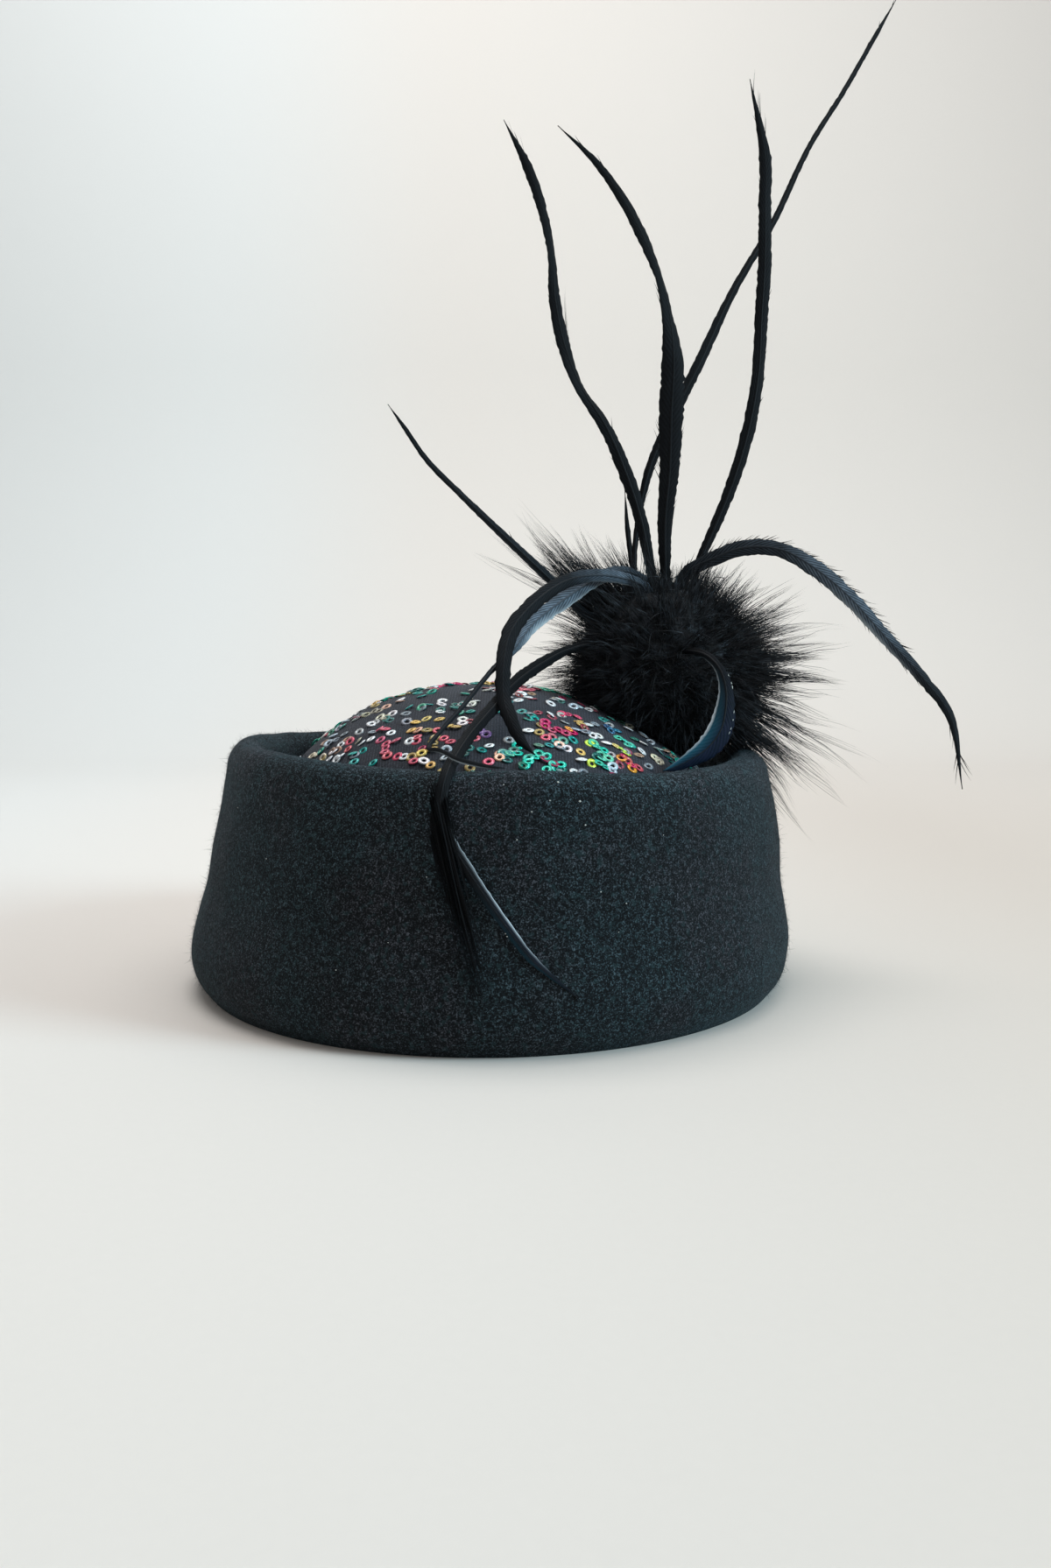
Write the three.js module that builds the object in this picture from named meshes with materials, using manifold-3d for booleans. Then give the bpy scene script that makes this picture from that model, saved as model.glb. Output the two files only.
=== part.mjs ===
// A pillbox hat. An oval felt band stands on its rim and rolls inwards at the top, a sequin cloth crown rises
// inside the roll, and a feather puff sits in the well between them with quills and curls springing from it.
// Millimetres, +Z up. The rim stands on z = 0 and the front faces -Y.
import * as THREE from "three";
import { mergeVertices } from "three/addons/utils/BufferGeometryUtils.js";
import Module from "manifold-3d";

const wasm = await Module();
wasm.setup();

// The oval
const HAT_X = -24.5; // the hat's middle: the origin lies under the middle of the whole piece, feathers included
const LENGTHENING = 15; // how much further the oval reaches to the front and back than to the sides
const FULL_LENGTHENING = 60; // ovals with a smaller side radius lengthen less, so that the crown ends in one point
const SIDES = 48; // flats around the oval
const GAP = 0.3; // between pieces that touch
const WELD = 0.001; // corners closer than this are the same corner
const SLIVER = 0.05; // edges shorter than this are closed up after the puff's joins and cuts

// The felt band
const FELT = 3;
const ROLL_TOP = 73.5;
const ROLL_RADIUS = 6.75;
const ROLL_STEPS = 6;
const BAND_LEAN = 2.5; // how far the top of the band stands to the right of the rim
const BAND_OUTSIDE = [
  { height: 0, radius: 92 },
  { height: 5, radius: 95.6 },
  { height: 14, radius: 97 },
  { height: 25, radius: 95.2 },
  { height: 34, radius: 93 },
  { height: 46, radius: 91.8 },
  { height: 58, radius: 89.4 },
  { height: ROLL_TOP - ROLL_RADIUS, radius: 87.5 },
];
const BAND_INNER_LEG = [
  { height: ROLL_TOP - ROLL_RADIUS, radius: 87.5 - 2 * ROLL_RADIUS },
  { height: 54, radius: 76.5 },
  { height: 42, radius: 79.5 },
];
const LIP_WAVE_FROM = 56; // the lip's wave fades out at this height
const LIP_WAVE = [ // degrees round from the right with the front at -90, and how far the lip rises there
  { turn: -180, rise: 4.2 },
  { turn: -150, rise: 2.8 },
  { turn: -125, rise: 1.5 },
  { turn: -112, rise: 1.2 },
  { turn: -100, rise: 0 },
  { turn: -82, rise: 0 },
  { turn: -68, rise: -1.2 },
  { turn: -52, rise: -1.9 },
  { turn: -35, rise: -1.2 },
  { turn: -15, rise: 0.2 },
  { turn: 0, rise: 0.7 },
  { turn: 45, rise: 0.8 },
  { turn: 90, rise: 1.2 },
  { turn: 125, rise: 2.2 },
  { turn: 155, rise: 3.6 },
  { turn: 180, rise: 4.2 },
];

// The crown
const CROWN_CLOTH = 2;
const CROWN_LEAN = -3; // the dome's top stands a little to the left
const CROWN_OUTSIDE = [
  { height: 0, radius: BAND_OUTSIDE[0].radius - FELT - GAP },
  { height: 8, radius: 88.4 },
  { height: 20, radius: 87 },
  { height: 33, radius: 83 },
  { height: BAND_INNER_LEG[2].height, radius: BAND_INNER_LEG[2].radius - GAP },
  { height: BAND_INNER_LEG[1].height, radius: BAND_INNER_LEG[1].radius - GAP },
  { height: 61, radius: 71.5 },
  { height: 67.5, radius: 66.5 },
  { height: 73.5, radius: 60 },
  { height: 82, radius: 48 },
  { height: 88.5, radius: 35 },
  { height: 92.8, radius: 21.5 },
  { height: 94.6, radius: 9.5 },
  { height: 95, radius: 0 },
];

// The puff
const PUFF_CENTRE = new THREE.Vector3(58, 0, 99);
const PUFF_CORE = new THREE.Vector3(28, 25, 28);
const PUFF_CORE_DETAIL = 4; // how finely the core's icosahedron is divided
const PUFF_CORE_TILT = 0.37; // turns the core's facets out of line with the locks
const LOCK_ROOT = 15; // how far from the puff's centre a lock begins
const LOCK_THICKNESS = 5;
const LOCK_STEPS = 3;
const LOCK_SIDEWAYS = 6; // the furthest that a lock's tip sways to one side
const LOCK_SCATTER = 6; // degrees off the even spacing
const LOCK_UNEVENNESS = 0.09; // share of a lock's reach
const LOCK_WIDTHS = [
  { share: 0, width: 9 },
  { share: 0.4, width: 11 },
  { share: 0.75, width: 7 },
  { share: 1, width: 0 },
];
// Rings and tufts of locks: rise is the slope above level, turn is the way round from the hat's right, in degrees.
const LOCK_GROUPS = [
  { count: 7, rise: 64, turn: 0, spread: 360, reach: 34, droop: 0 },
  { count: 10, rise: 35, turn: 15, spread: 360, reach: 37, droop: 2 },
  { count: 12, rise: 8, turn: 4, spread: 360, reach: 36, droop: 3 },
  { count: 11, rise: -18, turn: 12, spread: 360, reach: 38, droop: 5 },
  { count: 5, rise: 6, turn: 0, spread: 80, reach: 53, droop: 4 },
  { count: 5, rise: -8, turn: -8, spread: 90, reach: 52, droop: 26 },
  { count: 3, rise: 44, turn: 180, spread: 40, reach: 60, droop: 4 },
  { count: 4, rise: 12, turn: 195, spread: 80, reach: 46, droop: 8 },
];

// The feathers. Each row is a place on the shaft, and the width of the feather there.
const FEATHER_THICKNESS = 1.2;
const FEATHER_STEP = 6;
const QUILL_TALL_LEFT = [
  { x: 56, y: 6, z: 119, width: 2.4 },
  { x: 53, y: 6, z: 133, width: 3.2 },
  { x: 50, y: 7, z: 148, width: 4.1 },
  { x: 45, y: 9, z: 164, width: 4.7 },
  { x: 38, y: 11, z: 180, width: 4.2 },
  { x: 29, y: 13, z: 194, width: 3.2 },
  { x: 24, y: 15, z: 208, width: 4.5 },
  { x: 21, y: 17, z: 224, width: 3.9 },
  { x: 20, y: 18, z: 238, width: 2.4 },
  { x: 17, y: 20, z: 253, width: 3.3 },
  { x: 12, y: 22, z: 268, width: 3.4 },
  { x: 4, y: 24, z: 284, width: 0 },
];
const QUILL_TALL_MIDDLE = [
  { x: 58, y: 3, z: 119, width: 2.3 },
  { x: 57, y: 1, z: 147, width: 4.9 },
  { x: 58, y: -2, z: 164, width: 6.4 },
  { x: 58, y: -6, z: 182, width: 8 },
  { x: 58, y: -9, z: 197, width: 7.4 },
  { x: 56, y: -12, z: 210, width: 4 },
  { x: 53, y: -15, z: 221, width: 2.6 },
  { x: 48, y: -17, z: 232, width: 3.6 },
  { x: 42, y: -20, z: 242, width: 3.3 },
  { x: 33, y: -23, z: 253, width: 2.2 },
  { x: 21, y: -26, z: 263, width: 0 },
];
const QUILL_TALL_RIGHT = [
  { x: 65, y: 4, z: 118, width: 2.1 },
  { x: 68, y: 4, z: 133, width: 2.6 },
  { x: 74, y: 5, z: 147, width: 3.5 },
  { x: 80, y: 6, z: 162, width: 4.1 },
  { x: 85, y: 7, z: 179, width: 4.4 },
  { x: 88, y: 8, z: 197, width: 4.1 },
  { x: 89, y: 9, z: 215, width: 4.4 },
  { x: 90, y: 10, z: 233, width: 4.5 },
  { x: 90, y: 11, z: 252, width: 4.2 },
  { x: 90, y: 12, z: 267, width: 4.2 },
  { x: 85, y: 14, z: 293, width: 0 },
];
const QUILL_LONG = [
  { x: 51, y: 10, z: 118, width: 1.8 },
  { x: 48, y: 11, z: 133, width: 1.8 },
  { x: 49, y: 13, z: 148, width: 2 },
  { x: 53, y: 15, z: 167, width: 3 },
  { x: 61, y: 18, z: 185, width: 3.6 },
  { x: 71, y: 23, z: 205, width: 3.7 },
  { x: 82, y: 28, z: 228, width: 2.8 },
  { x: 97, y: 34, z: 254, width: 2.2 },
  { x: 110, y: 40, z: 281, width: 1.9 },
  { x: 123, y: 45, z: 302, width: 1.7 },
  { x: 135, y: 50, z: 323, width: 1.6 },
  { x: 143, y: 53, z: 337, width: 0 },
];
const QUILL_SHORT = [
  { x: 51, y: 14, z: 118, width: 1.8 },
  { x: 48, y: 15, z: 132, width: 1.8 },
  { x: 46, y: 17, z: 147, width: 1.8 },
  { x: 45, y: 18, z: 161, width: 0 },
];
const QUILL_LOW_LEFT = [
  { x: 44, y: -3, z: 110, width: 2 },
  { x: 28, y: -6, z: 120, width: 2.9 },
  { x: 21, y: -8, z: 127, width: 3.1 },
  { x: 7, y: -10, z: 140, width: 2.8 },
  { x: -9, y: -12, z: 155, width: 2 },
  { x: -20, y: -13, z: 166, width: 1.7 },
  { x: -27, y: -14, z: 176, width: 1.4 },
  { x: -32, y: -14, z: 183, width: 0 },
];
const CURL_LEFT = [
  { x: 54, y: -6, z: 118, width: 2.6 },
  { x: 50, y: -8, z: 126, width: 3.5 },
  { x: 41, y: -14, z: 129, width: 3.9 },
  { x: 31, y: -22, z: 129, width: 4.1 },
  { x: 22, y: -31, z: 126, width: 4.5 },
  { x: 13, y: -39, z: 119, width: 4.8 },
  { x: 7, y: -46, z: 111, width: 5 },
  { x: 5, y: -53, z: 102, width: 4.4 },
  { x: 5, y: -59, z: 92, width: 4.3 },
  { x: 7, y: -64, z: 86, width: 4 },
  { x: 10, y: -68, z: 80, width: 3 },
  { x: 14, y: -71, z: 76, width: 0 },
];
const CURL_FRONT = [
  { x: 57, y: 1, z: 118, width: 2.4 },
  { x: 53, y: 2, z: 127, width: 2.9 },
  { x: 44, y: -4, z: 131.5, width: 3.4 },
  { x: 34, y: -14, z: 128.5, width: 4.5 },
  { x: 24, y: -23, z: 122, width: 5.5 },
  { x: 14, y: -33, z: 114, width: 4.6 },
  { x: 8, y: -43, z: 106, width: 2.6 },
  { x: 1, y: -54, z: 99, width: 1.5 },
  { x: -6, y: -66, z: 90, width: 1.3 },
  { x: -12, y: -78, z: 83, width: 1.3 },
  { x: -14.5, y: -88, z: 79, width: 1.3 },
  { x: -11, y: -93, z: 78.5, width: 1.3 },
  { x: -6, y: -97, z: 76.4, width: 1.4 },
  { x: 1, y: -98, z: 74.8, width: 1.2 },
  { x: 6, y: -97, z: 74.3, width: 0 },
];
const DRAPE_FRONT = [
  { x: 44, y: -10, z: 106, width: 2 },
  { x: 34, y: -15, z: 108, width: 2.4 },
  { x: 25, y: -20, z: 106, width: 2.8 },
  { x: 17, y: -31, z: 102, width: 3.7 },
  { x: 9, y: -44, z: 96.5, width: 3.9 },
  { x: 2, y: -60, z: 89, width: 3.8 },
  { x: -4, y: -76, z: 82, width: 3.6 },
  { x: -7, y: -89, z: 77.3, width: 3.5 },
  { x: -8.7, y: -98.5, z: 74, width: 3.3 },
];
// Below the roll the draped feather lies on the band, so its rows have no y of their own.
const DRAPE_LIFT = 1;
const DRAPE_ON_BAND = [
  { x: -10, z: 69.5, width: 3.2 },
  { x: -10.5, z: 63, width: 3.1 },
  { x: -8.4, z: 57, width: 3 },
  { x: -4, z: 50, width: 3 },
  { x: 1, z: 42.5, width: 2.9 },
  { x: 7, z: 34, width: 2.6 },
  { x: 13, z: 26.5, width: 2.3 },
  { x: 25, z: 16, width: 0 },
];
const DROOP_RIGHT = [
  { x: 60, y: 1, z: 120, width: 2.6 },
  { x: 64, y: 0, z: 131, width: 4.1 },
  { x: 73, y: -3, z: 136, width: 4.9 },
  { x: 82, y: -6, z: 139, width: 5.2 },
  { x: 93, y: -10, z: 138, width: 4.8 },
  { x: 103, y: -14, z: 132, width: 5.1 },
  { x: 113, y: -18, z: 123, width: 5 },
  { x: 124, y: -22, z: 110, width: 4.1 },
  { x: 135, y: -26, z: 97, width: 3.6 },
  { x: 143, y: -29, z: 85, width: 2.7 },
  { x: 146, y: -33, z: 63, width: 0 },
];
const WELL_CURL = [
  { x: 58, y: -18, z: 105, width: 2.4 },
  { x: 62, y: -28, z: 105.5, width: 2.4 },
  { x: 66.5, y: -35, z: 104, width: 2.4 },
  { x: 69.8, y: -39, z: 100, width: 2.8 },
  { x: 71.3, y: -42, z: 94, width: 4.2 },
  { x: 70.8, y: -44.5, z: 87.5, width: 6.4 },
  { x: 69.1, y: -46.5, z: 81.8, width: 7.6 },
  { x: 65.3, y: -48.5, z: 77, width: 7 },
  { x: 60.3, y: -51, z: 73.8, width: 4.8 },
  { x: 54.9, y: -53.5, z: 71.4, width: 2.4 },
  { x: 51.3, y: -56, z: 70.4, width: 0 },
];

// A closed geometry as a solid that can be joined and cut. Corners closer than the weld become one.
function solidFrom(geometry, weld = WELD) {
  geometry.deleteAttribute("normal");
  geometry.deleteAttribute("uv");
  const merged = mergeVertices(geometry, weld);
  const corners = merged.index.array;
  const triangles = [];
  for (let i = 0; i < corners.length; i += 3) {
    const [a, b, c] = corners.slice(i, i + 3);
    if (a !== b && b !== c && c !== a) triangles.push(a, b, c);
  }
  const mesh = new wasm.Mesh({
    numProp: 3,
    vertProperties: merged.attributes.position.array,
    triVerts: new Uint32Array(triangles),
  });
  return new wasm.Manifold(mesh);
}

function geometryFrom(solid) {
  const mesh = solid.getMesh();
  const geometry = new THREE.BufferGeometry();
  geometry.setAttribute("position", new THREE.BufferAttribute(mesh.vertProperties, 3));
  geometry.setIndex(new THREE.BufferAttribute(mesh.triVerts, 1));
  geometry.computeVertexNormals();
  return geometry;
}

// A column of a table at a value of another column, read off along straight lines.
function readTable(rows, from, value, to) {
  let i = rows.findIndex((row) => row[from] >= value);
  if (i < 0) i = rows.length - 1;
  if (i === 0) return rows[0][to];
  const low = rows[i - 1];
  const high = rows[i];
  const share = Math.min(1, (value - low[from]) / (high[from] - low[from]));
  return low[to] + share * (high[to] - low[to]);
}

function frontReach(radius) {
  return radius + LENGTHENING * Math.min(1, radius / FULL_LENGTHENING);
}

function bandLean(height) {
  return BAND_LEAN * THREE.MathUtils.smoothstep(height, 0, ROLL_TOP);
}

function crownLean(height) {
  const back = THREE.MathUtils.smoothstep(height, BAND_INNER_LEG[1].height, CROWN_OUTSIDE.at(-1).height);
  return THREE.MathUtils.lerp(bandLean(height), CROWN_LEAN, back);
}

function lipRise(x, y, height) {
  const turn = THREE.MathUtils.radToDeg(Math.atan2(y, x));
  const share = THREE.MathUtils.smoothstep(height, LIP_WAVE_FROM, ROLL_TOP);
  return share * readTable(LIP_WAVE, "turn", turn, "rise");
}

function noRise() {
  return 0;
}

// A profile turned about the upright axis, then stretched to the oval and leant to one side.
function ovalSolid(profile, lean, rise = noRise) {
  const points = profile.map((row) => new THREE.Vector2(row.radius, row.height));
  const geometry = new THREE.LatheGeometry(points, SIDES);
  geometry.rotateX(Math.PI / 2);
  const position = geometry.attributes.position;
  for (let i = 0; i < position.count; i++) {
    const [x, y, height] = [position.getX(i), position.getY(i), position.getZ(i)];
    const radius = Math.hypot(x, y);
    const stretch = radius > 0 ? frontReach(radius) / radius : 1;
    position.setXYZ(i, x + lean(height), y * stretch, height + rise(x, y, height));
  }
  return solidFrom(geometry);
}

// The round top of the band, from the outside over to the well.
function rollArc(radius) {
  const rows = [];
  const middle = BAND_OUTSIDE.at(-1).radius - ROLL_RADIUS;
  for (let i = 0; i <= ROLL_STEPS; i++) {
    const angle = (Math.PI * i) / ROLL_STEPS;
    rows.push({
      radius: middle + radius * Math.cos(angle),
      height: ROLL_TOP - ROLL_RADIUS + radius * Math.sin(angle),
    });
  }
  return rows;
}

// The band's section is one thickness of felt all the way: up the outside, over the roll and down the inner leg.
function bandSection(grow) {
  const outside = BAND_OUTSIDE.slice(0, -1);
  const leg = BAND_INNER_LEG.slice(1);
  const shift = (rows, by) => rows.map((row) => ({ height: row.height, radius: row.radius + by }));
  return [
    ...shift(outside, grow),
    ...rollArc(ROLL_RADIUS + grow),
    ...shift(leg, -grow),
    ...shift(leg, FELT).reverse(),
    ...rollArc(ROLL_RADIUS - FELT).reverse(),
    ...shift(outside, -FELT).reverse(),
    { height: 0, radius: BAND_OUTSIDE[0].radius + grow },
  ];
}

function feltBand() {
  return ovalSolid(bandSection(0), bandLean, lipRise);
}

function crownSection(inset) {
  return CROWN_OUTSIDE.map((row) => {
    const share = row.height / CROWN_OUTSIDE.at(-1).height;
    return {
      height: row.height - inset * share,
      radius: Math.max(0, row.radius - inset * (1 - share * share)),
    };
  });
}

function sequinCrown() {
  const section = [...CROWN_OUTSIDE, ...crownSection(CROWN_CLOTH).reverse(), CROWN_OUTSIDE[0]];
  return ovalSolid(section, crownLean);
}

// The crown as a full lump, grown by a gap, to cut the puff's seat with.
function crownLump() {
  const section = [{ height: 0, radius: 0 }, ...crownSection(-GAP)];
  return ovalSolid(section, crownLean);
}

// A flat tapering strip along a smooth line through the rows. Its width lies across the view from the front.
function strip(rows, thickness, step, grow = 0) {
  const points = rows.map((row) => new THREE.Vector3(row.x, row.y, row.z));
  if (grow > 0) {
    const back = points[0].clone().sub(points[1]).setLength(grow);
    points[0].add(back);
  }
  const line = new THREE.CatmullRomCurve3(points, false, "centripetal");
  const stations = Math.max(3, Math.ceil(line.getLength() / step));
  const marks = points.map((_, i) => i / (points.length - 1));
  const widths = rows.map((row, i) => ({ mark: marks[i], width: row.width }));
  const positions = [];
  for (let i = 0; i < stations; i++) {
    const mark = line.getUtoTmapping(i / stations);
    const centre = line.getPoint(mark);
    const along = line.getTangent(mark);
    const across = new THREE.Vector3(0, -1, 0).cross(along).normalize();
    const through = across.clone().cross(along);
    const halfWidth = readTable(widths, "mark", mark, "width") / 2 + grow;
    const halfThickness = thickness / 2 + grow;
    for (const [side, face] of [[1, 0], [0, 1], [-1, 0], [0, -1]]) {
      const corner = centre.clone();
      corner.addScaledVector(across, side * halfWidth);
      corner.addScaledVector(through, face * halfThickness);
      positions.push(corner);
    }
  }
  const base = positions.length;
  positions.push(line.getPoint(0), line.getPoint(1));
  const index = [];
  for (let i = 0; i < stations; i++) {
    for (let k = 0; k < 4; k++) {
      const a = 4 * i + k;
      const b = 4 * i + ((k + 1) % 4);
      if (i === 0) index.push(base, a, b);
      if (i === stations - 1) index.push(a, base + 1, b);
      else index.push(a, b + 4, b, a, a + 4, b + 4);
    }
  }
  const geometry = new THREE.BufferGeometry().setFromPoints(positions);
  geometry.setIndex(index);
  return solidFrom(geometry);
}

// The draped feather's own rows, then those that lie on the front of the band.
function drapeRows() {
  const lying = DRAPE_ON_BAND.map((row) => {
    const radius = readTable(BAND_OUTSIDE, "height", row.z, "radius") + DRAPE_LIFT;
    const across = (row.x - bandLean(row.z)) / radius;
    return { ...row, y: -frontReach(radius) * Math.sqrt(1 - across * across) };
  });
  return [...DRAPE_FRONT, ...lying];
}

// One lock: a tapering strip that leaves the core straight, then sinks and sways towards its tip.
function lock(turn, rise, reach, droop, sway) {
  const level = new THREE.Vector3(Math.cos(turn), Math.sin(turn), 0);
  const sideways = new THREE.Vector3(-level.y, level.x, 0);
  const out = level.multiplyScalar(Math.cos(rise));
  out.z = Math.sin(rise);
  const rows = LOCK_WIDTHS.map(({ share, width }) => {
    const place = PUFF_CENTRE.clone().addScaledVector(out, LOCK_ROOT + share * (reach - LOCK_ROOT));
    place.addScaledVector(sideways, sway * share * share);
    place.z -= droop * share * share;
    return { x: place.x, y: place.y, z: place.z, width };
  });
  return strip(rows, LOCK_THICKNESS, (reach - LOCK_ROOT) / LOCK_STEPS);
}

function allLocks() {
  const locks = [];
  for (const group of LOCK_GROUPS) {
    for (let i = 0; i < group.count; i++) {
      const share = group.spread < 360 ? i / (group.count - 1) - 0.5 : i / group.count;
      const ripple = Math.sin(5.1 * locks.length);
      const swell = Math.cos(3.7 * locks.length);
      const turn = THREE.MathUtils.degToRad(group.turn + group.spread * share + LOCK_SCATTER * ripple);
      const rise = THREE.MathUtils.degToRad(group.rise + LOCK_SCATTER * swell);
      const reach = group.reach * (1 + LOCK_UNEVENNESS * ripple);
      locks.push(lock(turn, rise, reach, group.droop, LOCK_SIDEWAYS * swell));
    }
  }
  return locks;
}

// The puff: core and locks joined, with its seat and the feathers' sockets cut out.
function featherPuff(feathers) {
  const core = new THREE.IcosahedronGeometry(1, PUFF_CORE_DETAIL);
  core.rotateX(PUFF_CORE_TILT);
  core.rotateY(PUFF_CORE_TILT);
  core.scale(PUFF_CORE.x, PUFF_CORE.y, PUFF_CORE.z);
  core.translate(PUFF_CENTRE.x, PUFF_CENTRE.y, PUFF_CENTRE.z);
  let puff = solidFrom(core);
  for (const piece of allLocks()) puff = puff.add(piece);
  puff = puff.subtract(crownLump());
  puff = puff.subtract(ovalSolid(bandSection(GAP), bandLean, lipRise));
  for (const rows of feathers) puff = puff.subtract(strip(rows, FEATHER_THICKNESS, FEATHER_STEP, GAP));
  const bodies = solidFrom(geometryFrom(puff), SLIVER).decompose();
  return bodies.reduce((a, b) => (a.volume() > b.volume() ? a : b));
}

const felt = new THREE.MeshStandardMaterial({ color: 0x15191b, roughness: 0.95, metalness: 0 });
const sequinCloth = new THREE.MeshStandardMaterial({ color: 0x2a2c33, roughness: 0.7, metalness: 0.2 });
const marabou = new THREE.MeshStandardMaterial({ color: 0x0b0b0d, roughness: 0.9, metalness: 0 });
const feather = new THREE.MeshStandardMaterial({ color: 0x11151d, roughness: 0.5, metalness: 0 });

const hat = new THREE.Group();
hat.position.x = HAT_X;

function addPiece(name, solid, material) {
  const mesh = new THREE.Mesh(geometryFrom(solid), material);
  mesh.name = name;
  hat.add(mesh);
}

const feathers = {
  quill_tall_left: QUILL_TALL_LEFT,
  quill_tall_middle: QUILL_TALL_MIDDLE,
  quill_tall_right: QUILL_TALL_RIGHT,
  quill_long: QUILL_LONG,
  quill_short: QUILL_SHORT,
  quill_low_left: QUILL_LOW_LEFT,
  curl_left: CURL_LEFT,
  curl_front: CURL_FRONT,
  drape_front: drapeRows(),
  droop_right: DROOP_RIGHT,
  well_curl: WELL_CURL,
};

addPiece("felt_band", feltBand(), felt);
addPiece("sequin_crown", sequinCrown(), sequinCloth);
addPiece("feather_puff", featherPuff(Object.values(feathers)), marabou);
for (const [name, rows] of Object.entries(feathers)) {
  addPiece(name, strip(rows, FEATHER_THICKNESS, FEATHER_STEP), feather);
}

export default hat;
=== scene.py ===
# A pillbox hat: a felt cuff that rolls inwards at the top, a sequin cloth crown inside it, and a marabou
# puff at one side with stripped quills and curled feathers. +Z up, rim on z = 0, front towards -Y.
# The tables and the shapes are worked out in millimetres, and the finished meshes are in metres.
import math

import bpy
import numpy as np
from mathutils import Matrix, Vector, noise


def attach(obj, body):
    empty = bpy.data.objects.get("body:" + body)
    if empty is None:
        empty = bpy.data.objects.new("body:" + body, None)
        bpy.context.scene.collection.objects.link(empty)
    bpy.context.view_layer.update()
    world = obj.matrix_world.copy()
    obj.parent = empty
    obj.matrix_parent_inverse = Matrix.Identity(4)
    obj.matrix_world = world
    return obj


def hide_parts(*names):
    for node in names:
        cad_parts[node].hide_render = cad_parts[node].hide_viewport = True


bl_info = {
    "name": "Pillbox hat with feathers",
    "version": (1, 0, 0),
    "blender": (4, 5, 0),
    "location": "3D View > Sidebar > Hat",
    "description": "Builds the felt, cloth, sequins, down and feathers of a pillbox hat",
    "category": "Object",
}

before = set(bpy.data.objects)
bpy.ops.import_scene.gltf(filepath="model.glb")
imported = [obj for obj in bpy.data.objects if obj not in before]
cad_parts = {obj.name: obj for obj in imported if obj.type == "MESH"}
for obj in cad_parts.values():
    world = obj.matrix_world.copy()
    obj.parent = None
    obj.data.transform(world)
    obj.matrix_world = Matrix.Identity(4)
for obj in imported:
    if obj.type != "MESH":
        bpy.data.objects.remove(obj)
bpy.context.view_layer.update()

MM = 0.001
BODY = "root"
CURVE_STEPS = 24  # fine steps between two rows of a table, before they are spaced evenly
GOLDEN_TURN = math.pi * (3 - math.sqrt(5))  # spreads points evenly round a middle

# The oval
HAT_X = -24.5
LENGTHENING = 15.0
FULL_LENGTHENING = 60.0
AROUND = 288

# The felt cuff: height and side radius of its outside, and of the leg inside the roll
FELT = 3.0
ROLL_TOP = 73.5
ROLL_RADIUS = 6.75
CUFF_LEAN = 2.5
CUFF_OUTSIDE = (
    (0, 92), (5, 95.6), (14, 97), (25, 95.2), (34, 93), (46, 91.8), (58, 89.4), (66.75, 87.5),
)
CUFF_LEG = ((66.75, 74), (54, 76.5), (42, 79.5))
CUFF_STATION = 1.5
LEG_STATION = 2.0
ROLL_STATIONS = 18
# Shallow lumps in the felt: size across, depth, shift of the pattern
FELT_LUMPS = ((17.0, 0.38, 0), (45.0, 0.7, 200))
# How far the lip rises, going round in degrees from the right with the front at -90
LIP_WAVE_FROM = 56  # it fades out at this height
LIP_WAVE = (
    (-180, 4.2), (-150, 2.8), (-125, 1.5), (-112, 1.2), (-100, 0), (-82, 0), (-68, -1.2), (-52, -1.9),
    (-35, -1.2), (-15, 0.2), (0, 0.7), (45, 0.8), (90, 1.2), (125, 2.2), (155, 3.6), (180, 4.2),
)
LIP_WAVE_SOFTENING = (-6, -3, 0, 3, 6)

# The nap, the loose hairs on the felt, and the lint on its front: distance across, height, size
NAP_TILT = 1.6
NAP_RARITY = 4.8  # the higher, the fewer of the fibres are pale
NAP_BRIGHTNESS = 2.0
LOOSE_HAIRS = 5400
LOOSE_HAIR_LENGTHS = (1.1, 2.9)
LOOSE_HAIR_WIDTH = 0.08
LOOSE_HAIR_WAVER = 2.0
LINT_LIFT = 0.9
LINT = (
    (19.7, 71, 0.34), (25.4, 65.9, 0.38), (17.6, 66.3, 0.24), (12.9, 63.5, 0.28), (26.8, 59.8, 0.28),
    (5.7, 70.5, 0.2), (9.1, 56.5, 0.22), (30.8, 42.6, 0.22), (37.6, 39.1, 0.24), (35.5, 31.9, 0.16),
    (6.2, 32.9, 0.22), (6.6, 32.2, 0.22), (-38, 22, 0.2), (-60, 48, 0.18), (-24, 30, 0.16), (48, 56, 0.16),
    (-72, 60, 0.16), (-14, 47, 0.16),
)

# The crown: height and side radius of its outside
CROWN_CLOTH = 2.0
CROWN_LEAN = -3.0
CROWN_TOP = 95.0
CROWN_OUTSIDE = (
    (0, 88.7), (8, 88.4), (20, 87), (33, 83), (42, 79.2), (54, 76.2), (61, 71.5), (67.5, 66.5),
    (73.5, 60), (82, 48), (88.5, 35), (92.8, 21.5), (94.6, 9.5), (95, 0),
)
CROWN_STATION = 1.8
DOME_FROM = 5  # the row from which the profile only narrows
WIDEST_SEARCH = 90.0
HALVINGS = 26
# One ring sequin's section: radius, height
RING_SECTION = ((0.36, 0.0), (0.66, 0.15), (1.0, 0.03), (0.98, -0.06), (0.38, -0.06))
RING_SIDES = 12

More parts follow.
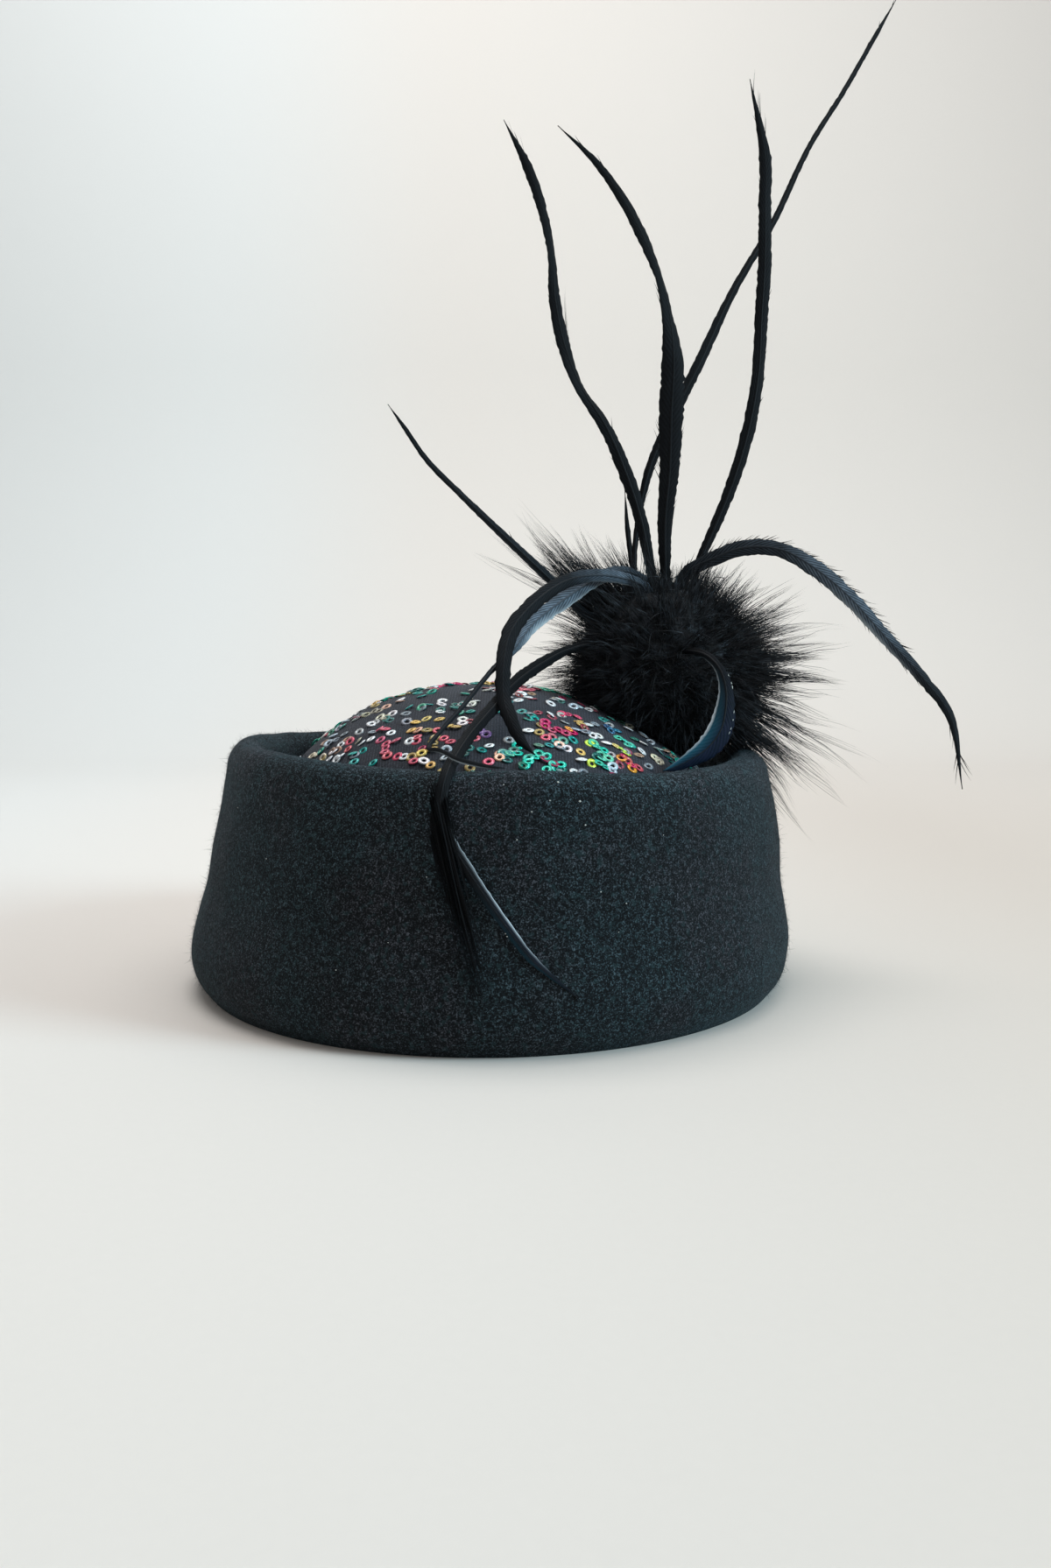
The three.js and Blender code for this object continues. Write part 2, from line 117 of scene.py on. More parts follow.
# The ring sequins: colours
TINTS = {
    "white": (0.93, 0.97, 1.0), "silver": (0.50, 0.60, 0.70), "cream": (0.80, 0.76, 0.60),
    "teal": (0.0, 0.30, 0.27), "turquoise": (0.0, 0.60, 0.44), "navy": (0.02, 0.12, 0.24),
    "rose": (0.70, 0.11, 0.18), "magenta": (0.62, 0.01, 0.13), "violet": (0.26, 0.14, 0.40),
    "gold": (0.78, 0.54, 0.16), "peach": (0.84, 0.50, 0.36), "orange": (0.90, 0.36, 0.04),
    "lime": (0.58, 0.80, 0.06),
}
# Chains of rings on the front of the dome: tint, then each ring's distance across and height
CHAINS = (
    ("cream", (-49, 73), (-54, 73), (-52, 74)), ("silver", (-49, 77), (-48, 79), (-47, 81), (-46, 83)),
    ("white", (-44, 77), (-46, 75), (-47, 73)), ("white", (-43, 74), (-44, 73)),
    ("rose", (-41, 78), (-41, 76)),
    ("teal", (-36, 76), (-39, 75), (-38, 73)), ("teal", (-32, 73)), ("white", (-37, 78), (-34, 79)),
    ("white", (-35, 83)), ("rose", (-32, 82), (-30, 82)), ("white", (-28, 81)),
    ("rose", (-31, 79), (-29, 78), (-26, 79)), ("rose", (-29, 77), (-29, 76), (-28, 75), (-25, 75)),
    ("white", (-23, 75)), ("rose", (-20, 74)), ("gold", (-22, 82), (-21, 84), (-18, 85), (-14, 85)),
    ("peach", (-20, 82)), ("rose", (-20, 80), (-20, 79)), ("white", (-22, 79)),
    ("cream", (-33, 85), (-31, 85)),
    ("white", (-29, 86)), ("peach", (-32, 88)), ("white", (-28, 90)),
    ("teal", (-23, 92), (-21, 91), (-18, 89), (-20, 88), (-24, 88)),
    ("white", (-14, 90), (-14, 89), (-14, 87)),
    ("rose", (-14, 82), (-12, 80), (-10, 79)), ("gold", (-11, 83), (-9, 83)), ("white", (-7, 85), (-7, 84)),
    ("white", (-5, 89), (-4, 90)), ("teal", (-5, 87)), ("gold", (-18, 76), (-15, 77)), ("white", (-17, 74)),
    ("gold", (-15, 73)), ("silver", (-11, 77), (-11, 75)), ("rose", (-3, 80)), ("violet", (0, 81), (-2, 82)),
    ("white", (1, 78)), ("teal", (-1, 77), (5, 76)), ("teal", (3, 87)), ("rose", (1, 74)),
    ("peach", (4, 75)),
    ("rose", (9, 93), (11, 93), (13, 93), (15, 93)), ("white", (8, 92), (10, 92), (12, 91), (9, 90)),
    ("teal", (5, 92), (6, 90)), ("white", (22, 90), (20, 90), (19, 89)), ("silver", (26, 88), (28, 88)),
    ("white", (33, 87), (31, 87)), ("teal", (10, 87), (13, 86), (12, 85), (14, 85)), ("white", (19, 86)),
    ("magenta", (22, 86), (24, 86), (27, 85)), ("magenta", (17, 84), (17, 83), (19, 82), (21, 82)),
    ("magenta", (23, 81), (25, 81)), ("orange", (24, 82)), ("rose", (17, 80), (19, 80)), ("white", (12, 82)),
    ("gold", (27, 84), (28, 83)), ("silver", (26, 82)), ("white", (30, 83), (31, 80), (33, 80), (35, 78)),
    ("teal", (35, 84), (36, 84), (38, 84)), ("navy", (36, 82), (37, 81), (39, 81)), ("white", (43, 81)),
    ("teal", (20, 79), (22, 79), (25, 79)), ("teal", (18, 78), (15, 78)), ("peach", (21, 78)),
    ("white", (23, 77)), ("gold", (27, 76)), ("white", (27, 74)), ("lime", (30, 78)),
    ("turquoise", (31, 78), (32, 77), (33, 75), (33, 74), (32, 73), (34, 72)),
    ("turquoise", (34, 76), (35, 74)), ("lime", (30, 73)),
    ("turquoise", (9, 78), (7, 76), (9, 76)), ("teal", (6, 76), (8, 77)), ("peach", (4, 76)),
    ("turquoise", (12, 75), (12, 74), (11, 73)), ("turquoise", (14, 75), (17, 75), (15, 76)),
    ("turquoise", (19, 73), (20, 72), (17, 72), (21, 73)), ("white", (25, 71)),
    ("silver", (36, 72), (36, 71)),
    ("turquoise", (39, 79), (41, 78), (42, 77), (43, 77)), ("gold", (38, 77)), ("lime", (41, 75), (40, 76)),
    ("magenta", (40, 74), (41, 73), (42, 72), (44, 71)), ("orange", (39, 74), (42, 71)),
    ("white", (47, 77), (46, 75)), ("cream", (50, 73), (51, 72), (52, 72)),
    ("silver", (48, 79), (50, 77), (52, 75)),
)
# The chart ends at this depth and this height, and inside it few and dim rings are added
CHARTED_DEPTH = -7
CHARTED_HEIGHT = 69
CHART_EDGE = 0.985  # the furthest round the dome that a charted ring may sit
FILL_SHARE = 0.36
FILL_DIMMING = 0.45
# On the rest of the dome: how many chains, how far out, how they wander, and how often each tint comes
REST_CHAINS = 340
REST_REACH = 70
REST_STRETCH = 1.18
RING_STEP = 2.5
RING_WANDER = 1.1
MOST_IN_CHAIN = 5
LAST_RADIUS = 71.5
RING_TILT = 0.28
REST_TINTS = (
    "white", "white", "silver", "teal", "teal", "turquoise", "rose", "magenta", "gold", "cream", "peach",
)

# The puff
PUFF_CENTRE = (58 + HAT_X, 0, 99)
PUFF_HEART = (27, 24, 27)
HEART_ROWS = 40
HEART_COLUMNS = 64
HEART_LUMP_SIZE = 0.35
HEART_LUMP_DEPTH = 0.10
# How far the down reaches, going round in degrees from the right as seen from the front
PUFF_OUTLINE = (
    (-180, 46), (-150, 41), (-110, 35), (-90, 34), (-64, 42), (-46, 64), (-30, 66), (-12, 64), (8, 63),
    (24, 61), (38, 54), (56, 45), (76, 41), (104, 42), (118, 46), (133, 52), (146, 48), (162, 47),
    (180, 46),
)
PUFF_DEPTH = 39
PUFF_BODY = 31
# The height that the down keeps above the dome and the roll: distance from the hat's middle, height
DOWN_FLOOR = (
    (0, 96), (21.5, 94), (35, 89.5), (48, 83), (60, 75), (66.5, 69), (71, 66), (74, 75), (90, 75), (92, 0),
)
DOWN_FLOOR_STRETCH = 1.2
# Layers of down: clumps, strands in each, least and most share of the way from the body to the outline,
# how strongly short clumps outnumber long ones, spread at the root and at the tip
PUFF_LAYERS = (
    (420, 22, 0.00, 0.30, 1.0, 3.2, 1.3),
    (1000, 15, 0.10, 0.98, 1.5, 1.7, 0.35),
    (1100, 1, 0.30, 1.20, 1.0, 1.0, 2.2),
)
# Tufts that stand out: way round as seen from the front, way to the front, reach, clumps, fan in degrees
PUFF_TUFTS = (
    (137, 4, 76, 17, 2.4), (132, 2, 71, 20, 3), (126, -2, 63, 16, 3.5), (118, 3, 57, 7, 4),
    (111, 0, 52, 5, 5), (103, 4, 49, 5, 5), (150, 6, 56, 5, 5), (-38, 8, 72, 6, 5), (-46, 12, 66, 5, 5),
    (-30, 4, 72, 5, 5),
    (14, 0, 67, 5, 6), (-10, 6, 69, 6, 6), (30, -4, 60, 4, 6), (70, 2, 49, 5, 5), (52, 0, 52, 4, 6),
    (172, 6, 52, 6, 8), (192, 8, 50, 6, 8),
)
TUFT_STRANDS = 17
TUFT_SPREAD = 1.6
TUFT_SCATTER = 0.4
DOWN_ROOT = 0.88  # share of the heart's radius at which a strand starts
DOWN_SWAY = 0.10
DOWN_SINK = 0.08
DOWN_WAVER = 4.5
STRAND_STEPS = 6
WAVER_SCALE = 80.0

# The feathers: place on the shaft, width there, and how far the vane is turned about the shaft, in degrees
QUILL_TALL_LEFT = (
    (56, 6, 119, 2.4, 0), (53, 6, 133, 3.2, 0), (50, 7, 148, 4.1, 0), (45, 9, 164, 4.7, 0),
    (38, 11, 180, 4.2, 15), (29, 13, 194, 3.2, 50), (24, 15, 208, 4.5, 20), (21, 17, 224, 3.9, 10),
    (20, 18, 238, 2.4, 50), (17, 20, 253, 3.3, 20), (12, 22, 268, 3.4, 0), (4, 24, 284, 0, 0),
)
QUILL_TALL_MIDDLE = (
    (58, 3, 119, 2.3, 0), (57, 1, 147, 4.9, 0), (58, -2, 164, 6.4, 0), (58, -6, 182, 8, 0),
    (58, -9, 197, 7.4, 10), (56, -12, 210, 4, 45), (53, -15, 221, 2.6, 50), (48, -17, 232, 3.6, 20),
    (42, -20, 242, 3.3, 10), (33, -23, 253, 2.2, 0), (21, -26, 263, 0, 0),
)
QUILL_TALL_RIGHT = (
    (65, 4, 118, 2.1, 0), (68, 4, 133, 2.6, 0), (74, 5, 147, 3.5, 0), (80, 6, 162, 4.1, 0),
    (85, 7, 179, 4.4, 0), (88, 8, 197, 4.1, 10), (89, 9, 215, 4.4, 0), (90, 10, 233, 4.5, 0),
    (90, 11, 252, 4.2, 10), (90, 12, 267, 4.2, 0), (85, 14, 293, 0, 0),
)
QUILL_LONG = (
    (51, 10, 118, 1.8, 0), (48, 11, 133, 1.8, 0), (49, 13, 148, 2, 0), (53, 15, 167, 3, 0),
    (61, 18, 185, 3.6, 0), (71, 23, 205, 3.7, 20), (82, 28, 228, 2.8, 0), (97, 34, 254, 2.2, 0),
    (110, 40, 281, 1.9, 0), (123, 45, 302, 1.7, 0), (135, 50, 323, 1.6, 0), (143, 53, 337, 0, 0),
)
QUILL_SHORT = ((51, 14, 118, 1.8, 0), (48, 15, 132, 1.8, 0), (46, 17, 147, 1.8, 0), (45, 18, 161, 0, 0))
QUILL_LOW_LEFT = (
    (44, -3, 110, 2, 0), (28, -6, 120, 2.9, 0), (21, -8, 127, 3.1, 0), (7, -10, 140, 2.8, 0),
    (-9, -12, 155, 2, 0), (-20, -13, 166, 1.7, 0), (-27, -14, 176, 1.4, 0), (-32, -14, 183, 0, 0),
)
CURL_LEFT = (
    (54, -6, 118, 2.6, 0), (50, -8, 126, 3.5, 0), (41, -14, 129, 3.9, 0), (31, -22, 129, 4.1, 0),
    (22, -31, 126, 4.5, 0), (13, -39, 119, 4.8, 0), (7, -46, 111, 5, 0), (5, -53, 102, 4.4, 0),
    (5, -59, 92, 4.3, 0), (7, -64, 86, 4, 0), (10, -68, 80, 3, 0), (14, -71, 76, 0, 0),
)
CURL_FRONT = (
    (57, 1, 118, 2.4, 0), (53, 2, 127, 2.9, 0), (44, -4, 131.5, 3.4, 0), (34, -14, 128.5, 4.5, 0),
    (24, -23, 122, 5.5, 0), (14, -33, 114, 4.6, 0), (8, -43, 106, 2.6, 0), (1, -54, 99, 1.5, 0),
    (-6, -66, 90, 1.3, 0), (-12, -78, 83, 1.3, 0), (-14.5, -88, 79, 1.3, 0), (-11, -93, 78.5, 1.3, 0),
    (-6, -97, 76.4, 1.4, 0), (1, -98, 74.8, 1.2, 0), (6, -97, 74.3, 0, 0),
)
DRAPE_FRONT = (
    (44, -10, 106, 2, 0), (34, -15, 108, 2.4, 0), (25, -20, 106, 2.8, 0), (17, -31, 102, 3.7, 0),
    (9, -44, 96.5, 3.9, 0), (2, -60, 89, 3.8, 0), (-4, -76, 82, 3.6, 0), (-7, -89, 77.3, 3.5, 0),
    (-8.7, -98.5, 74, 3.3, 0),
)
# Below the roll the draped feather lies on the cuff: across, height, width and turn
DRAPE_LIFT = 1.0
DRAPE_ON_CUFF = (
    (-10, 69.5, 3.2, 0), (-10.5, 63, 3.1, 0), (-8.4, 57, 3, 0), (-4, 50, 3, 0),
    (1, 42.5, 2.9, 0), (7, 34, 2.6, 0), (13, 26.5, 2.3, 0), (25, 16, 0, 0),
)
DROOP_RIGHT = (
    (60, 1, 120, 2.6, 0), (64, 0, 131, 4.1, 0), (73, -3, 136, 4.9, 0), (82, -6, 139, 5.2, 0),
    (93, -10, 138, 4.8, 0), (103, -14, 132, 5.1, 0), (113, -18, 123, 5, 0), (124, -22, 110, 4.1, 0),
    (135, -26, 97, 3.6, 0), (143, -29, 85, 2.7, 0), (146, -33, 63, 0, 0),
)
WELL_CURL = (
    (58, -18, 105, 2.4, 0), (62, -28, 105.5, 2.4, 0), (66.5, -35, 104, 2.4, 0), (69.8, -39, 100, 2.8, 0),
    (71.3, -42, 94, 4.2, 0), (70.8, -44.5, 87.5, 6.4, 0), (69.1, -46.5, 81.8, 7.6, 0),
    (65.3, -48.5, 77, 7, 0), (60.3, -51, 73.8, 4.8, 0), (54.9, -53.5, 71.4, 2.4, 0), (51.3, -56, 70.4, 0, 0),
)
# Painted steel sheen along a feather, which stands in for light on the parts that face it: share of its
# length, amount
PAINTED_SHEEN = {
    "curl_front": (
        (0, 0.2), (0.10, 0.4), (0.22, 0.7), (0.32, 0.9), (0.40, 1.3), (0.47, 1.3), (0.52, 0.6),
        (0.58, 0.1), (1, 0.03),
    ),
    "curl_left": (
        (0, 0.15), (0.06, 0.5), (0.12, 0.8), (0.22, 0.75), (0.29, 0.35), (0.36, 0.05), (1, 0.02),
    ),
    "droop_right": (
        (0, 0.05), (0.16, 0.2), (0.32, 0.3), (0.40, 0.8), (0.52, 1.0), (0.60, 0.8), (0.68, 0.3),
        (0.78, 0.1), (1, 0.03),
    ),
    "well_curl": ((0, 0), (0.60, 0.01), (1, 0.03)),
    "drape_front": ((0, 0), (0.72, 0.02), (0.85, 0.06), (0.95, 0.06), (1, 0)),
    "quill_low_left": ((0, 0.2), (0.4, 0.16), (1, 0.05)),
}
# Painted highlights where light catches an edge: feather, side, shares where it starts, is brightest and
# ends, strength, share of the half width
PAINTED_EDGE_HIGHLIGHTS = (
    ("curl_front", 1, 0.10, 0.36, 0.50, 1.0, 0.15),
    ("curl_front", 1, 0.33, 0.42, 0.49, 0.55, 0.42),
    ("curl_front", -1, 0.85, 0.93, 0.99, 0.9, 0.36),
    ("droop_right", -1, 0.42, 0.58, 0.76, 0.8, 0.2),
    ("well_curl", -1, 0.22, 0.62, 0.97, 1.5, 0.11),
    ("drape_front", 1, 0.64, 0.86, 0.95, 1.15, 0.17),
    ("curl_left", 1, 0.04, 0.16, 0.32, 0.5, 0.14),
    ("quill_low_left", 1, 0.05, 0.3, 0.7, 0.12, 0.2),
)
# Loose barbs on the edges: feather, side, first and last share, how many, length, slant in degrees
BARBS = (
    ("quill_tall_left", -1, 0.545, 0.56, 3, 19, 9), ("quill_tall_left", -1, 0.30, 0.50, 5, 5, 14),
    ("quill_tall_left", 1, 0.20, 0.80, 8, 4, 12), ("quill_tall_left", -1, 0.93, 0.97, 3, 6, 10),
    ("quill_tall_middle", 1, 0.27, 0.37, 12, 7, 24), ("quill_tall_middle", -1, 0.20, 0.36, 8, 5, 16),
    ("quill_tall_middle", 1, 0.60, 0.66, 4, 8, 10), ("quill_tall_middle", -1, 0.70, 0.95, 5, 5, 10),
    ("quill_tall_right", -1, 0.90, 0.97, 6, 9, 12), ("quill_tall_right", 1, 0.60, 0.92, 6, 4, 10),
    ("quill_tall_right", -1, 0.35, 0.60, 6, 4, 14),
    ("droop_right", 1, 0.05, 0.66, 110, 5, 22), ("droop_right", -1, 0.40, 0.72, 18, 4, 14),
    ("droop_right", 1, 0.92, 0.94, 3, 9, 26), ("droop_right", -1, 0.86, 0.95, 4, 7, 12),
    ("curl_front", -1, 0.06, 0.45, 26, 4, 12), ("curl_front", 1, 0.06, 0.40, 16, 3, 10),
    ("curl_left", -1, 0.06, 0.40, 14, 3, 12), ("well_curl", 1, 0.45, 0.90, 22, 4, 16),
    ("quill_long", -1, 0.10, 0.22, 6, 5, 18), ("quill_long", 1, 0.86, 0.99, 4, 3, 12),
    ("quill_low_left", -1, 0.10, 0.6, 8, 3, 12),
)
BARB_WIDTH = 0.34
BARB_WAVER = 1.2
# Dark barbs of the draped feather that lie down the front of the cuff, whose lower run is a dark band of
# painted
# shadow cast by the draped feather: how many, between which distances across and heights they start, how far
# they run down, how far across for each part down, and the bow
LYING_BARBS = 190
LYING_BARB_ROOTS = ((-13.4, -9.6), (56.0, 71.0))
LYING_BARB_DROPS = (14.0, 52.0)
LYING_BARB_SLANT = 0.26
LYING_BARB_SCATTER = 0.9
LYING_BARB_LIFTS = (1.1, 0.9)
LYING_BARB_BOW = -7.0
LYING_BARB_WIDTH = 0.36
LYING_BARB_WAVER = 0.8
# Painted deep blue sheen, for the feathers that have it: share of the length, amount
PAINTED_BLUE_SHEEN = {
    "well_curl": ((0, 0), (0.35, 0.05), (0.55, 0.45), (0.75, 0.9), (1, 1.0)),
    "drape_front": ((0, 0), (0.78, 0), (0.88, 0.35), (0.96, 0.35), (1, 0)),
}
NO_PAINTED_SHEEN = ((0, 0), (1, 0))
PLAIN_PAINTED_SHEEN = ((0, 0.03), (1, 0.02))
# White flecks on the curl in the well: share of its length, share of the half width
FLECKS = ((0.43, 1.0), (0.455, 1.0), (0.48, 0.98), (0.585, 0.82), (0.61, 0.80), (0.64, 0.74), (0.665, 0.72))
FLECK_WIDTH = 0.09
FLECK_LENGTHS = (0.35, 0.8)
FLECK_LIFT = 0.45
FEATHER_STATION = 1.2
FEATHER_THICKNESS = 0.45
EDGE_THINNING = 0.6  # how much thinner a vane is at its edges than in the middle
VANE_HALF_ROWS = 4
VANE_CROWN = 0.28  # how far the middle stands forward, as a share of the half width
VANE_FRAY = 0.05
LEAST_HALF_WIDTH = 0.12
SHAFT_RADII = (0.52, 0.10)
SHAFT_LIFT = 0.12
SHAFT_SIDES = 6

# Colours that vary inside a finish
WARM_WOOL, COOL_WOOL, TEAL_WOOL = (1.12, 0.94, 0.95), (0.84, 1.05, 1.06), (0.028, 0.060, 0.068)
KNIT_LIGHT = (0.046, 0.053, 0.071)
FILM_SHIFT = (0.70, 0.85, 0.90)
DOWN_LIGHT = (0.052, 0.062, 0.075)
VANE_LIGHT = (0.009, 0.010, 0.0115)
# The colours of the painted deep blue sheen, which turns teal towards one edge
DEEP_BLUE, VIOLET, TEAL_EDGE = (0.003, 0.010, 0.020), (0.010, 0.016, 0.040), (0.010, 0.070, 0.110)
LINT_DARK, LINT_LIGHT = (0.42, 0.46, 0.44), (0.80, 0.82, 0.78)
# The third colour is the painted sheen on a shaft
SHAFT_DARK, SHAFT_LIGHT, SHAFT_PAINTED_SHEEN = (0.005, 0.0055, 0.0065), (0.012, 0.014, 0.017), (0.085, 0.11, 0.14)
# The second colour is painted shade on the floor near the right
COOL_PAPER, PAINTED_WARM_SHADE = (0.755, 0.765, 0.755), (0.75, 0.70, 0.665)
# Painted light from above on the roll's top
ROLL_PAINTED_LIGHT = (0.056, 0.074)  # heights in metres between which the felt gets lighter towards the roll
KNIT_RIB = 0.00085  # metres from one rib of the knit to the next
BARB_SPACING = 2.0

# What starts each random choice
HAIR_SEED, NAP_SEED, RING_SEED, DOWN_SEED = 23, 3, 41, 7
BARB_SEED, LYING_BARB_SEED, FLECK_SEED = 61, 77, 3

# The stage, in metres
CAMERA_PLACE = (-0.0132, -0.450, 0.1004)
CAMERA_TILT = -4.9
CAMERA_LENS = 31.16
CAMERA_SENSOR = 36.0
SWEEP_HALF_WIDTH = 2.6
SWEEP_FRONT = -1.6
SWEEP_BEND_FROM = 0.9
SWEEP_BEND = 0.5
SWEEP_BEND_STEPS = 12
SWEEP_TOP = 3.2
# Lamps: name, place, what it points at, size, the setting with its power, colour
LAMPS = (
    ("top", (0.10, 0.05, 1.30), (0, 0, 0.05), 1.2, "key_power", (1.0, 0.99, 0.97)),
    ("side", (1.10, -0.45, 0.62), (0, 0, 0.08), 0.5, "rim_power", (0.62, 0.88, 1.0)),
    ("wall", (-0.25, 0.45, 1.7), (0, 1.4, 0.55), 1.2, "wall_power", (1.0, 1.0, 1.0)),
)
SKY_COLOUR = (1.0, 0.99, 0.975, 1)


# Settings that a user would change

class HatStageSettings(bpy.types.PropertyGroup):
    backdrop: bpy.props.FloatVectorProperty(
        name="Backdrop", description="Colour of the floor and the wall behind", subtype="COLOR",
        size=3, default=(0.760, 0.718, 0.678), min=0, max=1)
    key_power: bpy.props.FloatProperty(
        name="Top light", description="Power of the large soft lamp above the hat", unit="POWER",
        default=6.0, min=0)
    rim_power: bpy.props.FloatProperty(
        name="Side light", description="Power of the lamp at the right", unit="POWER",
        default=13.5, min=0)
    wall_power: bpy.props.FloatProperty(
        name="Wall light", description="Power of the lamp that lights the wall behind", unit="POWER",
        default=14.0, min=0)
    sky: bpy.props.FloatProperty(
        name="Sky", description="Strength of the pale light from all round", default=0.34, min=0)


class HatFeltSettings(bpy.types.PropertyGroup):
    dark: bpy.props.FloatVectorProperty(
        name="Dark wool", description="Colour of the felt between its pale fibres", subtype="COLOR",
        size=3, default=(0.0044, 0.0056, 0.0068), min=0, max=1)
    light: bpy.props.FloatVectorProperty(
        name="Light wool", description="Colour of the pale fibres in the felt", subtype="COLOR",
        size=3, default=(0.092, 0.118, 0.140), min=0, max=1)
    nap_length: bpy.props.FloatProperty(
        name="Nap length", description="Length of the fibres that stand off the felt", unit="LENGTH",
        default=0.0013, min=0)
    nap_density: bpy.props.FloatProperty(
        name="Nap density", description="Fibres on each square metre of felt", default=0.94e6, min=0)


class HatCrownSettings(bpy.types.PropertyGroup):
    knit: bpy.props.FloatVectorProperty(
        name="Knit", description="Colour of the crown's cloth", subtype="COLOR",
        size=3, default=(0.011, 0.014, 0.021), min=0, max=1)
    ring_radius: bpy.props.FloatProperty(
        name="Sequin radius", description="Outer radius of a ring sequin", unit="LENGTH",
        default=0.00172, min=0)


class HatPuffSettings(bpy.types.PropertyGroup):
    down: bpy.props.FloatVectorProperty(
        name="Down", description="Colour of the marabou", subtype="COLOR",
        size=3, default=(0.0150, 0.0165, 0.0190), min=0, max=1)
    strand_width: bpy.props.FloatProperty(
        name="Strand width", description="Width of a strand of down at its root", unit="LENGTH",
        default=0.00029, min=0)


class HatFeatherSettings(bpy.types.PropertyGroup):
    vane: bpy.props.FloatVectorProperty(
        name="Vane", description="Colour of the feathers", subtype="COLOR",
        size=3, default=(0.0030, 0.0036, 0.0046), min=0, max=1)
    # The colour of the painted steel sheen
    steel: bpy.props.FloatVectorProperty(
        name="Steel", description="Colour of the sheen on the curled feathers", subtype="COLOR",
        size=3, default=(0.17, 0.225, 0.29), min=0, max=1)
    # The colour of the painted highlights on the feathers' edges
    pale: bpy.props.FloatVectorProperty(
        name="Pale edge", description="Colour where light catches a feather's edge", subtype="COLOR",
        size=3, default=(0.50, 0.58, 0.64), min=0, max=1)


# Numbers and lines

def smoothstep(value, low, high):
    share = np.clip((value - low) / (high - low), 0, 1)
    return share * share * (3 - 2 * share)


def read_table(rows, value):
    """The second column of a table at a value of its first, along straight lines."""
    rows = np.asarray(rows, float)
    order = np.argsort(rows[:, 0])
    return np.interp(value, rows[order, 0], rows[order, 1])


def front_reach(radius):
    return radius + LENGTHENING * np.minimum(1, radius / FULL_LENGTHENING)


def cuff_lean(height):
    return CUFF_LEAN * smoothstep(height, 0, ROLL_TOP)


def crown_lean(height):
    share = smoothstep(height, CUFF_LEG[1][0], CROWN_TOP)
    return cuff_lean(height) * (1 - share) + CROWN_LEAN * share


def lip_rise(turn, height):
    """How far the cuff's lip is lifted at each height and way round."""
    degrees = [(np.degrees(turn) + 180 + shift) % 360 - 180 for shift in LIP_WAVE_SOFTENING]
    wave = np.mean([read_table(LIP_WAVE, part) for part in degrees], axis=0)
    return smoothstep(height, LIP_WAVE_FROM, ROLL_TOP)[:, None] * wave


def no_rise(turn, height):
    return np.zeros((len(height), len(turn)))


def unit(vectors):
    return vectors / np.maximum(np.linalg.norm(vectors, axis=-1, keepdims=True), 1e-9)


def smooth_rows(rows, step, places=3):
    """Rows whose first columns are a place, as evenly spaced rows along one smooth curve through them."""
    rows = np.asarray(rows, float)
    spots = rows[:, :places]
    held = np.vstack([2 * spots[0] - spots[1], spots, 2 * spots[-1] - spots[-2]])
    share = np.linspace(0, 1, CURVE_STEPS, endpoint=False)[:, None]
    fine = []
    for i in range(len(rows) - 1):
        a, b, c, d = held[i:i + 4]
        ab, bc, cd = (max(np.linalg.norm(q - p), 1e-4) ** 0.5 for p, q in ((a, b), (b, c), (c, d)))
        leaving = ((b - a) / ab - (c - a) / (ab + bc) + (c - b) / bc) * bc
        arriving = ((c - b) / bc - (d - b) / (bc + cd) + (d - c) / cd) * bc
        cubic = 2 * b - 2 * c + leaving + arriving
        square = 3 * c - 3 * b - 2 * leaving - arriving
        spot = b + leaving * share + square * share ** 2 + cubic * share ** 3
        rest = rows[i, places:] + (rows[i + 1, places:] - rows[i, places:]) * share
        fine.append(np.hstack([spot, rest]))
    fine = np.vstack([*fine, rows[-1:]])
    run = np.concatenate([[0], np.cumsum(np.linalg.norm(np.diff(fine[:, :places], axis=0), axis=1))])
    marks = np.linspace(0, run[-1], max(2, int(round(run[-1] / step)) + 1))
    return np.column_stack([np.interp(marks, run, column) for column in fine.T])


def ripple(spots, size):
    """Smooth unevenness between -1 and 1 at places in millimetres, with lumps of about a size."""
    return np.array([noise.noise(Vector(spot) / size) for spot in spots])


# Meshes

def grid_faces(rows, columns, close_rows=False, close_columns=False):
    """The four-cornered faces of a grid of places, which may be joined up either way."""
    row = np.arange(rows if close_rows else rows - 1)[:, None]
    column = np.arange(columns if close_columns else columns - 1)[None, :]
    next_row = (row + 1) % rows
    next_column = (column + 1) % columns
    corners = [row * columns + column, row * columns + next_column,
               next_row * columns + next_column, next_row * columns + column]
    size = (row.shape[0], column.shape[1])
    return np.stack([np.broadcast_to(corner, size) for corner in corners], axis=-1).reshape(-1, 4)


def new_mesh(name, spots, faces, attributes=()):
    """A mesh from places in millimetres, with named numbers or vectors on its corners."""
    mesh = bpy.data.meshes.new(name)
    mesh.from_pydata((np.asarray(spots) * MM).tolist(), [], [list(map(int, face)) for face in faces])
    for key, values in dict(attributes).items():
        values = np.asarray(values, np.float32)
        kind = "FLOAT_VECTOR" if values.ndim == 2 else "FLOAT"
        layer = mesh.attributes.new(key, kind, "POINT")
        layer.data.foreach_set("vector" if values.ndim == 2 else "value", values.ravel())
    mesh.update()
    return mesh


def add_object(name, mesh, smooth=True):
    piece = bpy.data.objects.new(name, mesh)
    bpy.context.scene.collection.objects.link(piece)
    if smooth and len(mesh.polygons):
        mesh.polygons.foreach_set("use_smooth", [True] * len(mesh.polygons))
    return piece


def hand_over(piece, nodes=()):
    """Says what a finished piece rides on, and hides the parts that it stands for."""
    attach(piece, BODY)
    if nodes:
        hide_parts(*nodes)


